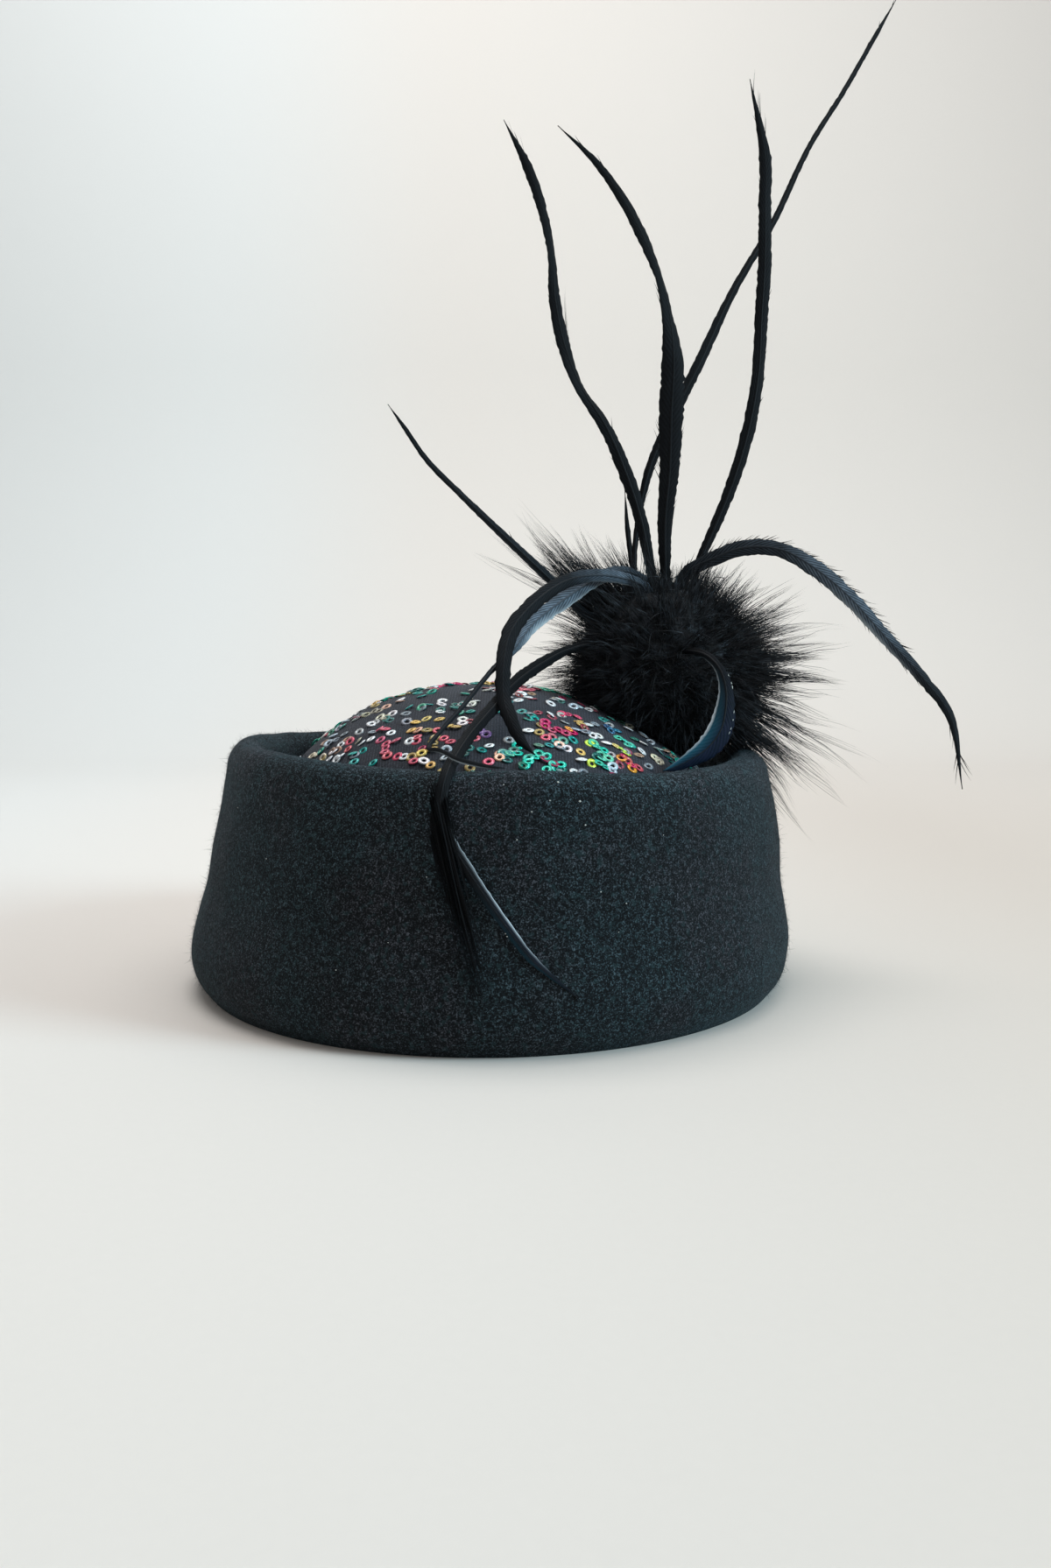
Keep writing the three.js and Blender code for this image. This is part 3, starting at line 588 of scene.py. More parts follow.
def oval_wall(profile, lean, rise=no_rise):
    """Places round the oval for each row of height and radius, and each place's outward way."""
    height, radius = np.asarray(profile, float).T
    turn = 2 * np.pi * np.arange(AROUND) / AROUND
    across = HAT_X + lean(height)[:, None] + radius[:, None] * np.cos(turn)
    depth = front_reach(radius)[:, None] * np.sin(turn)
    level = height[:, None] + rise(turn, height)
    spots = np.stack([across, depth, level], axis=-1)
    along = np.gradient(spots, axis=0)
    round_way = np.roll(spots, -1, axis=1) - np.roll(spots, 1, axis=1)
    outward = unit(np.cross(round_way, along))
    return spots, outward


# Node trees

class Wire:
    """One output of a node, which takes part in arithmetic."""

    def __init__(self, net, socket):
        self.net = net
        self.socket = socket

    def math(self, operation, *values):
        return self.net.node("ShaderNodeMath", {"operation": operation}, dict(enumerate(values)))

    def __add__(self, other):
        return self.math("ADD", self, other)

    __radd__ = __add__

    def __sub__(self, other):
        return self.math("SUBTRACT", self, other)

    def __rsub__(self, other):
        return self.math("SUBTRACT", other, self)

    def __mul__(self, other):
        return self.math("MULTIPLY", self, other)

    __rmul__ = __mul__

    def __pow__(self, other):
        return self.math("POWER", self, other)

    def sine(self):
        return self.math("SINE", self)

    def size(self):
        return self.math("ABSOLUTE", self)

    def between(self, low, high):
        sockets = {"Value": self, "From Min": low, "From Max": high}
        return self.net.node("ShaderNodeMapRange", {"interpolation_type": "SMOOTHSTEP"}, sockets)


class Net:
    """A node tree being built: of a material, or of a geometry modifier."""

    def __init__(self, tree):
        self.tree = tree

    def node(self, kind, settings=(), sockets=(), output=0):
        made = self.tree.nodes.new(kind)
        for key, value in dict(settings).items():
            setattr(made, key, value)
        for key, value in dict(sockets).items():
            if isinstance(value, Wire):
                self.tree.links.new(value.socket, made.inputs[key])
            elif value is not None:
                made.inputs[key].default_value = value
        return Wire(self, made.outputs[output]) if len(made.outputs) else made

    def mix(self, factor, first, second):
        sockets = {0: factor, 6: rgba(first), 7: rgba(second)}
        return self.node("ShaderNodeMix", {"data_type": "RGBA"}, sockets, 2)

    def shade(self, colour, amount):
        return self.node("ShaderNodeVectorMath", {"operation": "SCALE"}, {0: colour, "Scale": amount})

    def grain(self, place, scale, detail=2.0, roughness=0.5):
        sockets = {"Vector": place, "Scale": scale, "Detail": detail, "Roughness": roughness}
        return self.node("ShaderNodeTexNoise", {}, sockets)

    def vector(self, operation, first, second):
        return self.node("ShaderNodeVectorMath", {"operation": operation}, {0: first, 1: second})

    def attribute(self, name, output="Fac"):
        return self.node("ShaderNodeAttribute", {"attribute_name": name}, {}, output)

    def bump(self, height, strength, distance):
        sockets = {"Height": height, "Strength": strength, "Distance": distance}
        return self.node("ShaderNodeBump", {}, sockets)

    def part(self, vector, axis):
        """One number of a place: 0 for across, 1 for depth, 2 for height."""
        return self.node("ShaderNodeSeparateXYZ", {}, {0: vector}, axis)


def rgba(colour):
    return colour if isinstance(colour, Wire) else (*colour, 1.0)


def new_finish(name):
    material = bpy.data.materials.new(name)
    material.use_nodes = True
    material.node_tree.nodes.clear()
    net = Net(material.node_tree)
    place = net.node("ShaderNodeTexCoord", {}, {}, "Object")
    return material, net, place


def close_finish(net, sockets):
    shader = net.node("ShaderNodeBsdfPrincipled", {}, sockets)
    net.node("ShaderNodeOutputMaterial", {}, {"Surface": shader})


def felt_finish(name, settings, fibres=False):
    """Dark wool with pale fibres, mottled, and painted a little lighter over the roll, where light from
    above falls.
    """
    material, net, place = new_finish(name)
    fine = net.grain(place, scale=2300, detail=3, roughness=0.7)
    middle = net.grain(place, scale=850, detail=2, roughness=0.6)
    broad = net.grain(place, scale=42, detail=2, roughness=0.5)
    fleck = (fine * 0.75 + middle * 0.25).between(0.48, 0.70)
    clumps = net.grain(place, scale=230, detail=2, roughness=0.6)
    if fibres:
        speckle = fine.between(0.38, 0.62) * 1.3 + 0.35
        fleck = net.attribute("tone") * (broad * 0.9 + 0.75) * (clumps * 1.7 + 0.2) * speckle + fleck * 0.12
    hue = net.grain(place, scale=36, detail=2, roughness=0.5).between(0.36, 0.62)
    light = net.vector("MULTIPLY", net.mix(hue, WARM_WOOL, COOL_WOOL), tuple(settings.light))
    colour = net.mix(fleck, settings.dark, light)
    elsewhere = net.vector("ADD", place, (0.3, 0.1, 0.2))
    teal = net.grain(elsewhere, scale=620, detail=1, roughness=0.5).between(0.56, 0.70)
    colour = net.mix(teal * 0.30, colour, TEAL_WOOL)
    # Painted light: the felt is made lighter towards the roll's top, where light from above falls
    roll = net.part(place, 2).between(*ROLL_PAINTED_LIGHT)
    colour = net.shade(colour, (broad * 0.5 + 0.76) * (1 + roll * 0.35))
    bump = net.bump(fine * 0.6 + middle * 0.6, strength=0.55, distance=0.0006)
    close_finish(net, {
        "Base Color": colour, "Roughness": 0.94, "Specular IOR Level": 0.12,
        "Sheen Weight": 0.05, "Sheen Roughness": 0.45, "Sheen Tint": (0.5, 0.8, 0.95, 1),
        "Normal": None if fibres else bump,
    })
    return material


def knit_finish(settings):
    """Fine charcoal knit with faint ribs."""
    material, net, place = new_finish("crown_knit")
    across = net.part(place, 0)
    fine = net.grain(net.vector("MULTIPLY", place, (1, 1, 0.35)), scale=1900, detail=3, roughness=0.65)
    middle = net.grain(place, scale=500, detail=2, roughness=0.5)
    ribs = (across * (2 * math.pi / KNIT_RIB) + middle * 3).sine()
    fleck = (fine * 0.8 + ribs * 0.08).between(0.36, 0.64)
    colour = net.mix(fleck, settings.knit, KNIT_LIGHT)
    bump = net.bump(ribs * 0.25 + fine * 0.8, strength=0.5, distance=0.0004)
    close_finish(net, {
        "Base Color": colour, "Roughness": 0.85, "Specular IOR Level": 0.3,
        "Sheen Weight": 0.08, "Sheen Roughness": 0.5, "Sheen Tint": (0.7, 0.75, 0.9, 1), "Normal": bump,
    })
    return material


def sequin_finish():
    """Glossy film in each ring's own tint, which drifts a little."""
    material, net, place = new_finish("sequin_film")
    tint = net.attribute("tint", "Color")
    drift = net.grain(place, scale=700, detail=1, roughness=0.5)
    shifted = net.mix(drift.between(0.55, 0.75) * 0.16, tint, FILM_SHIFT)
    close_finish(net, {
        "Base Color": shifted, "Roughness": drift * 0.15 + 0.16, "Metallic": drift * 0.2 + 0.08,
        "Specular IOR Level": 0.25, "Coat Weight": 0.12, "Coat Roughness": 0.1,
    })
    return material


def down_finish(settings):
    """Black down with greyer streaks."""
    material, net, place = new_finish("marabou_down")
    streak = net.grain(place, scale=300, detail=2, roughness=0.5)
    colour = net.mix(streak.between(0.45, 0.75), settings.down, DOWN_LIGHT)
    close_finish(net, {
        "Base Color": colour, "Roughness": streak * 0.2 + 0.6, "Specular IOR Level": 0.18,
    })
    return material


def feather_finish(settings):
    """Black vane with fine barbs, a painted steel sheen, a painted deep blue sheen, and painted highlights
    on its edges.
    """
    material, net, place = new_finish("feather_vane")
    along = net.attribute("along")
    across = net.attribute("across")
    steel = net.attribute("steel")
    pale = net.attribute("pale")
    blue = net.attribute("blue")
    patch = net.grain(place, scale=260, detail=2, roughness=0.6)
    barbs = (along * (2 * math.pi / BARB_SPACING) - across.size() * 19 + patch * 4).sine()
    fine = net.grain(place, scale=1500, detail=2, roughness=0.6)
    # Painted sheen: the steel colour is mixed in where the feather faces the light
    glow = steel * (barbs * 0.34 + 0.56) * (patch * 1.4 + 0.2) * (1.1 - across.size() * 0.3)
    colour = net.mix(glow, net.mix(fine, settings.vane, VANE_LIGHT), settings.steel)
    # Painted deep blue sheen, teal towards one edge
    violet = net.mix((patch * 1.2 + barbs * 0.2).between(0.3, 1.0), DEEP_BLUE, VIOLET)
    near_edge = (across * -1).between(-0.2, 0.9)
    colour = net.mix(blue, colour, net.mix(near_edge, violet, TEAL_EDGE))
    # Painted highlight where light catches an edge
    colour = net.mix(pale * (patch * 0.5 + 0.65), colour, settings.pale)
    bump = net.bump(barbs * 0.3 + fine * 0.6, strength=0.4, distance=0.00025)
    close_finish(net, {
        "Base Color": colour, "Roughness": fine * 0.15 + 0.55, "Specular IOR Level": 0.06,
        "Normal": bump,
    })
    return material


def lint_finish():
    """Off-white lint."""
    material, net, place = new_finish("pale_lint")
    streak = net.grain(place, scale=1400, detail=2, roughness=0.5)
    colour = net.mix(streak, LINT_DARK, LINT_LIGHT)
    close_finish(net, {"Base Color": colour, "Roughness": 0.9, "Specular IOR Level": 0.1})
    return material


def quill_finish():
    """The shaft's smooth dark horn, with some of the vane's painted steel sheen."""
    material, net, place = new_finish("feather_shaft")
    streak = net.grain(place, scale=900, detail=2, roughness=0.5)
    colour = net.mix(streak, SHAFT_DARK, SHAFT_LIGHT)
    # Painted sheen on the shaft, following the vane's
    colour = net.mix(net.attribute("steel") * 0.6, colour, SHAFT_PAINTED_SHEEN)
    close_finish(net, {
        "Base Color": colour, "Roughness": streak * 0.15 + 0.42, "Specular IOR Level": 0.10,
    })
    return material


def backdrop_finish(settings):
    """Pale paper, cooler at the left, with painted shade, darker and warmer, on the floor near the right."""
    material, net, place = new_finish("pale_paper")
    broad = net.grain(place, scale=0.9, detail=2, roughness=0.5)
    fine = net.grain(place, scale=420, detail=2, roughness=0.5)
    across = net.part(place, 0)
    far = net.part(place, 1).between(0.10, 1.30)
    # Painted shade: the floor near the right is made darker and warmer, which holds back the side lamp's
    # light
    painted_shade_near_right = across.between(-0.12, 0.26) * (1 - far)
    colour = net.mix(across.between(-0.45, -0.08), COOL_PAPER, tuple(settings.backdrop))
    colour = net.mix(painted_shade_near_right, colour, net.vector("MULTIPLY", colour, PAINTED_WARM_SHADE))
    colour = net.shade(colour, broad * 0.05 + fine * 0.02 + 0.965)
    close_finish(net, {"Base Color": colour, "Roughness": 0.95, "Specular IOR Level": 0.15})
    return material


# Geometry trees

def new_tree(name, inputs):
    tree = bpy.data.node_groups.new(name, "GeometryNodeTree")
    tree.is_modifier = True
    tree.interface.new_socket("Geometry", in_out="INPUT", socket_type="NodeSocketGeometry")
    for label, kind in inputs.items():
        tree.interface.new_socket(label, in_out="INPUT", socket_type=kind)
    tree.interface.new_socket("Geometry", in_out="OUTPUT", socket_type="NodeSocketGeometry")
    net = Net(tree)
    entry = tree.nodes.new("NodeGroupInput")
    return tree, net, {socket.name: Wire(net, socket) for socket in entry.outputs if socket.name}


def close_tree(net, geometry, material):
    whole = net.node("GeometryNodeRealizeInstances", {}, {"Geometry": geometry})
    dressed = net.node("GeometryNodeSetMaterial", {}, {"Geometry": whole, "Material": material})
    net.node("NodeGroupOutput", {}, {"Geometry": dressed})


def run_tree(name, tree, base, inputs, smooth=True):
    """The plain mesh that a tree makes of a base mesh, as a piece of its own."""
    carrier = add_object(name + "_base", base, smooth=False)
    modifier = carrier.modifiers.new(tree.name, "NODES")
    modifier.node_group = tree
    for item in tree.interface.items_tree:
        if item.in_out == "INPUT" and item.name in inputs:
            modifier[item.identifier] = inputs[item.name]
    graph = bpy.context.evaluated_depsgraph_get()
    mesh = bpy.data.meshes.new_from_object(carrier.evaluated_get(graph), depsgraph=graph)
    if not len(mesh.polygons):
        raise RuntimeError(name + " came out empty")
    mesh.name = name
    bpy.data.objects.remove(carrier)
    return add_object(name, mesh, smooth)


def random_number(net, low, high, seed):
    sockets = {2: low, 3: high, "Seed": seed}
    return net.node("FunctionNodeRandomValue", {"data_type": "FLOAT"}, sockets, 1)


def random_vector(net, reach, seed):
    sockets = {0: (-reach,) * 3, 1: (reach,) * 3, "Seed": seed}
    return net.node("FunctionNodeRandomValue", {"data_type": "FLOAT_VECTOR"}, sockets, 0)


def facing(net, way, seed):
    """A turn that points +Z along a way, with a random roll about it."""
    roll = net.node("ShaderNodeCombineXYZ", {}, {"Z": random_number(net, 0.0, 2 * math.pi, seed)})
    start = net.node("FunctionNodeEulerToRotation", {}, {0: roll})
    return net.node("FunctionNodeAlignRotationToVector", {"axis": "Z"}, {"Rotation": start, "Vector": way})


def nap_tree():
    """Short bent fibres scattered on a surface."""
    tree, net, entry = new_tree("nap", {
        "Fibre": "NodeSocketObject", "Density": "NodeSocketFloat", "Length": "NodeSocketFloat",
        "Tilt": "NodeSocketFloat", "Seed": "NodeSocketInt", "Material": "NodeSocketMaterial",
    })
    scatter = net.node(
        "GeometryNodeDistributePointsOnFaces", {"distribute_method": "RANDOM"},
        {"Mesh": entry["Geometry"], "Density": entry["Density"], "Seed": entry["Seed"]}, "Points")
    normal = Wire(net, scatter.socket.node.outputs["Normal"])
    lean = net.shade(random_vector(net, 1.0, 11), entry["Tilt"])
    way = net.vector("ADD", normal, lean)
    fibre = net.node("GeometryNodeObjectInfo", {}, {"Object": entry["Fibre"]}, "Geometry")
    size = random_number(net, 0.35, 1.0, 12) ** 1.5 * entry["Length"]
    placed = net.node("GeometryNodeInstanceOnPoints", {}, {
        "Points": scatter, "Instance": fibre, "Rotation": facing(net, way, 13), "Scale": size,
    })
    tone = random_number(net, 0.0, 1.0, 14) ** NAP_RARITY * NAP_BRIGHTNESS
    toned = net.node("GeometryNodeStoreNamedAttribute", {"data_type": "FLOAT", "domain": "INSTANCE"},
                     {"Geometry": placed, "Name": "tone", "Value": tone})
    close_tree(net, toned, entry["Material"])
    return tree


def stored(net, name, kind):
    """An attribute that the points carry."""
    return net.node("GeometryNodeInputNamedAttribute", {"data_type": kind}, {"Name": name}, "Attribute")


def strand_tree():
    """Fine tapering strands from points that carry a way, a reach and a bend."""
    tree, net, entry = new_tree("strands", {
        "Strand": "NodeSocketObject", "Width": "NodeSocketFloat", "Waver": "NodeSocketFloat",
        "Waver Scale": "NodeSocketFloat", "Material": "NodeSocketMaterial",
    })
    strand = net.node("GeometryNodeObjectInfo", {}, {"Object": entry["Strand"]}, "Geometry")
    reach = stored(net, "reach", "FLOAT")
    scale = net.node("ShaderNodeCombineXYZ", {}, {"X": entry["Width"], "Y": entry["Width"], "Z": reach})
    placed = net.node("GeometryNodeInstanceOnPoints", {}, {
        "Points": entry["Geometry"], "Instance": strand,
        "Rotation": facing(net, stored(net, "way", "FLOAT_VECTOR"), 21), "Scale": scale,
    })
    whole = net.node("GeometryNodeRealizeInstances", {}, {"Geometry": placed})
    share = stored(net, "share", "FLOAT")
    bend = net.shade(stored(net, "bend", "FLOAT_VECTOR"), share * share)
    spot = net.node("GeometryNodeInputPosition")
    sockets = {"Vector": spot, "Scale": entry["Waver Scale"], "Detail": 2.0}
    drift = net.node("ShaderNodeTexNoise", {}, sockets, 1)
    drift = net.vector("SUBTRACT", drift, (0.5, 0.5, 0.5))
    offset = net.vector("ADD", bend, net.shade(drift, share * entry["Waver"]))
    moved = net.node("GeometryNodeSetPosition", {}, {"Geometry": whole, "Offset": offset})
    close_tree(net, moved, entry["Material"])
    return tree


def ring_tree():
    """Ring sequins on points that carry a facing way and a tint."""
    tree, net, entry = new_tree("ring_sequins", {
        "Ring": "NodeSocketObject", "Radius": "NodeSocketFloat", "Tilt": "NodeSocketFloat",
        "Material": "NodeSocketMaterial",
    })
    ring = net.node("GeometryNodeObjectInfo", {}, {"Object": entry["Ring"]}, "Geometry")
    normal = stored(net, "way", "FLOAT_VECTOR")
    lean = net.shade(random_vector(net, 1.0, 31), entry["Tilt"])
    size = random_number(net, 0.9, 1.08, 32) * entry["Radius"]
    placed = net.node("GeometryNodeInstanceOnPoints", {}, {
        "Points": entry["Geometry"], "Instance": ring,
        "Rotation": facing(net, net.vector("ADD", normal, lean), 33), "Scale": size,
    })
    close_tree(net, placed, entry["Material"])
    return tree


# Small shapes that the trees repeat, one unit long or wide

def fibre_shape():
    spots = [(-0.022, 0, 0), (0.022, 0, 0), (0.020, 0.12, 0.55), (-0.012, 0.12, 0.55), (0.05, 0.45, 0.9)]
    mesh = new_mesh("fibre_shape", np.array(spots) / MM, [(0, 1, 2, 3), (3, 2, 4)])
    return add_object("fibre_shape", mesh)


def strand_shape(steps=STRAND_STEPS):
    spots, share = [], []
    for i in range(steps):
        part = i / steps
        half = 0.5 * (1 - part) ** 0.8
        spots += [(-half, 0, part), (half, 0, part)]
        share += [part, part]
    spots.append((0, 0, 1))
    share.append(1)
    faces = [(2 * i, 2 * i + 1, 2 * i + 3, 2 * i + 2) for i in range(steps - 1)]
    faces.append((2 * steps - 2, 2 * steps - 1, 2 * steps))
    mesh = new_mesh("strand_shape", np.array(spots) / MM, faces, {"share": share})
    return add_object("strand_shape", mesh)


def ring_shape():
    spots = []
    for radius, height in RING_SECTION:
        for i in range(RING_SIDES):
            turn = 2 * math.pi * i / RING_SIDES
            spots.append((radius * math.cos(turn), radius * math.sin(turn), height))
    faces = grid_faces(len(RING_SECTION), RING_SIDES, close_rows=True, close_columns=True)
    mesh = new_mesh("ring_shape", np.array(spots) / MM, faces[:, ::-1])
    return add_object("ring_shape", mesh)


# The felt cuff

def cuff_profile(inset):
    """One side of the felt's section, from the rim over the roll to the foot of the inner leg."""
    middle = CUFF_OUTSIDE[-1][1] - ROLL_RADIUS
    outside = smooth_rows(CUFF_OUTSIDE, CUFF_STATION, places=2)
    turn = np.linspace(0, np.pi, ROLL_STATIONS)[1:-1]
    level = ROLL_TOP - ROLL_RADIUS + ROLL_RADIUS * np.sin(turn)
    arc = np.column_stack([level, middle + ROLL_RADIUS * np.cos(turn)])
    leg = smooth_rows(CUFF_LEG, LEG_STATION, places=2)
    rows = np.vstack([outside, arc, leg])
    along = unit(np.gradient(rows, axis=0))
    inward = np.column_stack([along[:, 1], -along[:, 0]])
    inward[0] = (0, -1)
    return rows + inset * inward


def uneven_felt(spots, outward):
    """The felt's hand-blocked unevenness: shallow lumps and a slow wander of the roll."""
    flat = spots.reshape(-1, 3)
    lumps = sum(ripple(flat + shift, size) * depth for size, depth, shift in FELT_LUMPS)
    rise = smoothstep(flat[:, 2], 1.0, 12.0)
    return spots + outward * (lumps * rise).reshape(*spots.shape[:2], 1)


def felt_walls():
    """The cuff's outside, its outward ways, and its inside, which follows the same lumps."""
    outer, outward = oval_wall(cuff_profile(0.0), cuff_lean, lip_rise)
    lumpy = uneven_felt(outer, outward)
    shift = lumpy - outer
    inner, _ = oval_wall(cuff_profile(FELT), cuff_lean, lip_rise)
    return lumpy, outward, inner + shift


def add_strands(name, rows, width, waver, finish):
    """A piece of fine strands from rows of roots, ways, reaches and bends."""
    roots, ways, reaches, bends = rows
    base = new_mesh(name + "_points", roots, [], {"way": ways, "reach": reaches * MM, "bend": bends * MM})
    strand = strand_shape()
    piece = run_tree(name, strand_tree(), base, {
        "Strand": strand, "Width": width * MM, "Waver": waver * MM, "Waver Scale": WAVER_SCALE,
        "Material": finish,
    })
    bpy.data.objects.remove(strand)
    hand_over(piece)


def loose_hair_rows(outer, outward):
    """Curly hairs that lie on the felt with one end off it."""
    count = LOOSE_HAIRS
    random = np.random.default_rng(HAIR_SEED)
    row = random.integers(3, len(outer) - 8, count)
    column = random.integers(0, AROUND, count)
    root, normal = outer[row, column], outward[row, column]
    ways = unit(random.normal(0, 1, (count, 3)) + normal * 0.6)
    ways = unit(ways + normal * np.maximum(0, 0.12 - np.sum(ways * normal, axis=1))[:, None])
    reaches = random.uniform(*LOOSE_HAIR_LENGTHS, count)
    bends = np.cross(ways, normal) * random.normal(0, 1.0, (count, 1))
    bends += normal * random.uniform(-0.3, 0.6, (count, 1))
    return root + normal * 0.2, ways, reaches, bends


def on_cuff(across, height, lift):
    """A place on the front of the cuff, lifted off it."""
    radius = read_table(CUFF_OUTSIDE, height) + lift
    share = (across - cuff_lean(height)) / radius
    return np.array([HAT_X + across, -front_reach(radius) * math.sqrt(1 - share * share), height])


def add_lint():
    """The pale lint that has settled on the front of the felt."""
    spots, faces = [], []
    corners = np.array([(1, 0, 0), (0, 1, 0), (-1, 0, 0), (0, -1, 0), (0, 0, 1), (0, 0, -1)], float)
    for across, height, size in LINT:
        centre = on_cuff(across, height, LINT_LIFT)
        base = 6 * len(spots)
        spots.append(centre + corners * size * np.array([1, 0.6, 0.8]))
        for i in range(4):
            faces.append((base + i, base + (i + 1) % 4, base + 4))
            faces.append((base + (i + 1) % 4, base + i, base + 5))
    lint = add_object("felt_lint", new_mesh("felt_lint", np.vstack(spots), faces))
    lint.data.materials.append(lint_finish())
    hand_over(lint)


def add_nap(outer, settings):
    """Short fibres all over the felt, from just above the rim to the foot of the inner leg."""
    faces = grid_faces(len(outer) - 1, AROUND, close_columns=True)
    skin = new_mesh("felt_skin", outer[1:].reshape(-1, 3), faces)
    fibre = fibre_shape()
    nap = run_tree("felt_nap", nap_tree(), skin, {
        "Fibre": fibre, "Density": settings.nap_density, "Length": settings.nap_length,
        "Tilt": NAP_TILT, "Seed": NAP_SEED, "Material": felt_finish("wool_nap", settings, fibres=True),
    })
    hand_over(nap)
    bpy.data.objects.remove(fibre)


class HAT_OT_felt_cuff(bpy.types.Operator):
    """Makes the felt cuff with its nap, loose hairs and lint"""

    bl_idname = "hat.felt_cuff"
    bl_label = "Felt cuff"

    def execute(self, context):
        settings = context.scene.hat_felt
        outer, outward, inner = felt_walls()
        spots = np.concatenate([outer, inner[::-1]]).reshape(-1, 3)
        faces = grid_faces(2 * len(outer), AROUND, close_rows=True, close_columns=True)
        cuff = add_object("felt_cuff", new_mesh("felt_cuff", spots, faces))
        cuff.data.materials.append(felt_finish("wool_felt", settings))
        hand_over(cuff, ["felt_band"])
        add_nap(outer, settings)
        hairs = loose_hair_rows(outer, outward)
        finish = felt_finish("wool_hair", settings, fibres=True)
        add_strands("felt_hairs", hairs, LOOSE_HAIR_WIDTH, LOOSE_HAIR_WAVER, finish)
        add_lint()
        return {"FINISHED"}


# The crown

def crown_wall(inset):
    """The places of one side of the cloth, from the rim up to just short of the top."""
    height, radius = np.asarray(CROWN_OUTSIDE, float).T
    share = height / CROWN_TOP
    narrowed = np.maximum(0, radius - inset * (1 - share * share))
    rows = np.column_stack([height - inset * share, narrowed])
    profile = smooth_rows(rows, CROWN_STATION, places=2)[:-1]
    spots, _ = oval_wall(profile, crown_lean)
    return spots


class HAT_OT_crown(bpy.types.Operator):
    """Makes the crown's knitted cloth"""

    bl_idname = "hat.crown"
    bl_label = "Crown cloth"

    def execute(self, context):
        settings = context.scene.hat_crown
        walls = np.concatenate([crown_wall(0.0)[::-1], crown_wall(CROWN_CLOTH)])
        faces = grid_faces(len(walls), AROUND, close_columns=True)[:, ::-1].tolist()
        apex = len(walls) * AROUND
        last = apex - AROUND
        for i in range(AROUND):
            after = (i + 1) % AROUND
            faces.append((apex, i, after))
            faces.append((apex + 1, last + after, last + i))
        middle = HAT_X + CROWN_LEAN
        ends = [(middle, 0, CROWN_TOP), (middle, 0, CROWN_TOP - CROWN_CLOTH)]
        spots = np.vstack([walls.reshape(-1, 3), ends])
        crown = add_object("crown_cloth", new_mesh("crown_cloth", spots, faces))
        crown.data.materials.append(knit_finish(settings))
        hand_over(crown, ["sequin_crown"])
        return {"FINISHED"}


class HAT_OT_sequins(bpy.types.Operator):
    """Scatters chains of ring sequins over the dome"""

    bl_idname = "hat.sequins"
    bl_label = "Ring sequins"

    def execute(self, context):
        settings = context.scene.hat_crown
        spots, ways, tints = sequin_rings()
        base = new_mesh("sequin_points", spots, [], {"way": ways, "tint": tints})
        ring = ring_shape()
        sequins = run_tree("ring_sequins", ring_tree(), base, {
            "Ring": ring, "Radius": settings.ring_radius, "Tilt": RING_TILT, "Material": sequin_finish(),
        }, smooth=False)
        hand_over(sequins)
        bpy.data.objects.remove(ring)
        return {"FINISHED"}


def dome_height(across, depth):
    """The dome's height over a point of its plan, and the radius of the oval through that point."""
    low, high = 0.0, WIDEST_SEARCH
    level = CROWN_TOP
    for _ in range(HALVINGS):
        radius = (low + high) / 2
        level = read_table([(r, h) for h, r in CROWN_OUTSIDE], radius)
        share = ((across - crown_lean(level)) / radius) ** 2 + (depth / front_reach(radius)) ** 2
        low, high = (low, radius) if share < 1 else (radius, high)
    return level, radius


def on_dome(across, depth, step=0.5):
    """The place and the outward way on the dome over a point of its plan."""
    level, _ = dome_height(across, depth)
    east, _ = dome_height(across + step, depth)
    north, _ = dome_height(across, depth + step)
    outward = unit(np.array([level - east, level - north, step]))
    return np.array([HAT_X + across, depth, level]), outward


def charted_rings():
    """Plan places, tints and brightness of the rings in the chart."""
    for tint, *rings in CHAINS:
        for across, height in rings:
            radius = read_table(CROWN_OUTSIDE[DOME_FROM:], height)
            share = np.clip((across - crown_lean(height)) / radius, -CHART_EDGE, CHART_EDGE)
            yield across, -front_reach(radius) * math.sqrt(1 - share * share), tint, 1.0


def other_rings(random):
    """Plan places, tints and brightness of wandering chains, few and dim where the chart has its own."""
    for i in range(REST_CHAINS):
        reach = REST_REACH * math.sqrt((i + random.uniform(0.1, 0.9)) / REST_CHAINS)
        turn = i * GOLDEN_TURN + random.uniform(-0.05, 0.05)
        across, depth = reach * math.cos(turn), reach * REST_STRETCH * math.sin(turn)
        way = random.uniform(0, 2 * math.pi)
        tint = REST_TINTS[random.integers(len(REST_TINTS))]
        for _ in range(random.integers(1, MOST_IN_CHAIN + 1)):
            way += random.uniform(-RING_WANDER, RING_WANDER)
            across += RING_STEP * math.cos(way)
            depth += RING_STEP * math.sin(way)
            level, radius = dome_height(across, depth)
            if radius > LAST_RADIUS:
                break
            charted = depth < CHARTED_DEPTH and level > CHARTED_HEIGHT
            if random.uniform() < (FILL_SHARE if charted else 1.0):
                yield across, depth, tint, FILL_DIMMING if charted else 1.0


def sequin_rings():
    """Every ring's place, outward way and colour."""
    random = np.random.default_rng(RING_SEED)
    spots, ways, tints = [], [], []
    for across, depth, tint, light in (*charted_rings(), *other_rings(random)):
        spot, outward = on_dome(across, depth)
        bright = light * random.uniform(0.8, 1.15)
        other = list(TINTS.values())[random.integers(len(TINTS))]
        shift = random.uniform(0.0, 0.16)
        spots.append(spot + outward * random.uniform(0.25, 0.6))
        ways.append(outward)
        tints.append(bright * ((1 - shift) * np.array(TINTS[tint]) + shift * np.array(other)))
    return np.array(spots), np.array(ways), np.array(tints)


# The puff

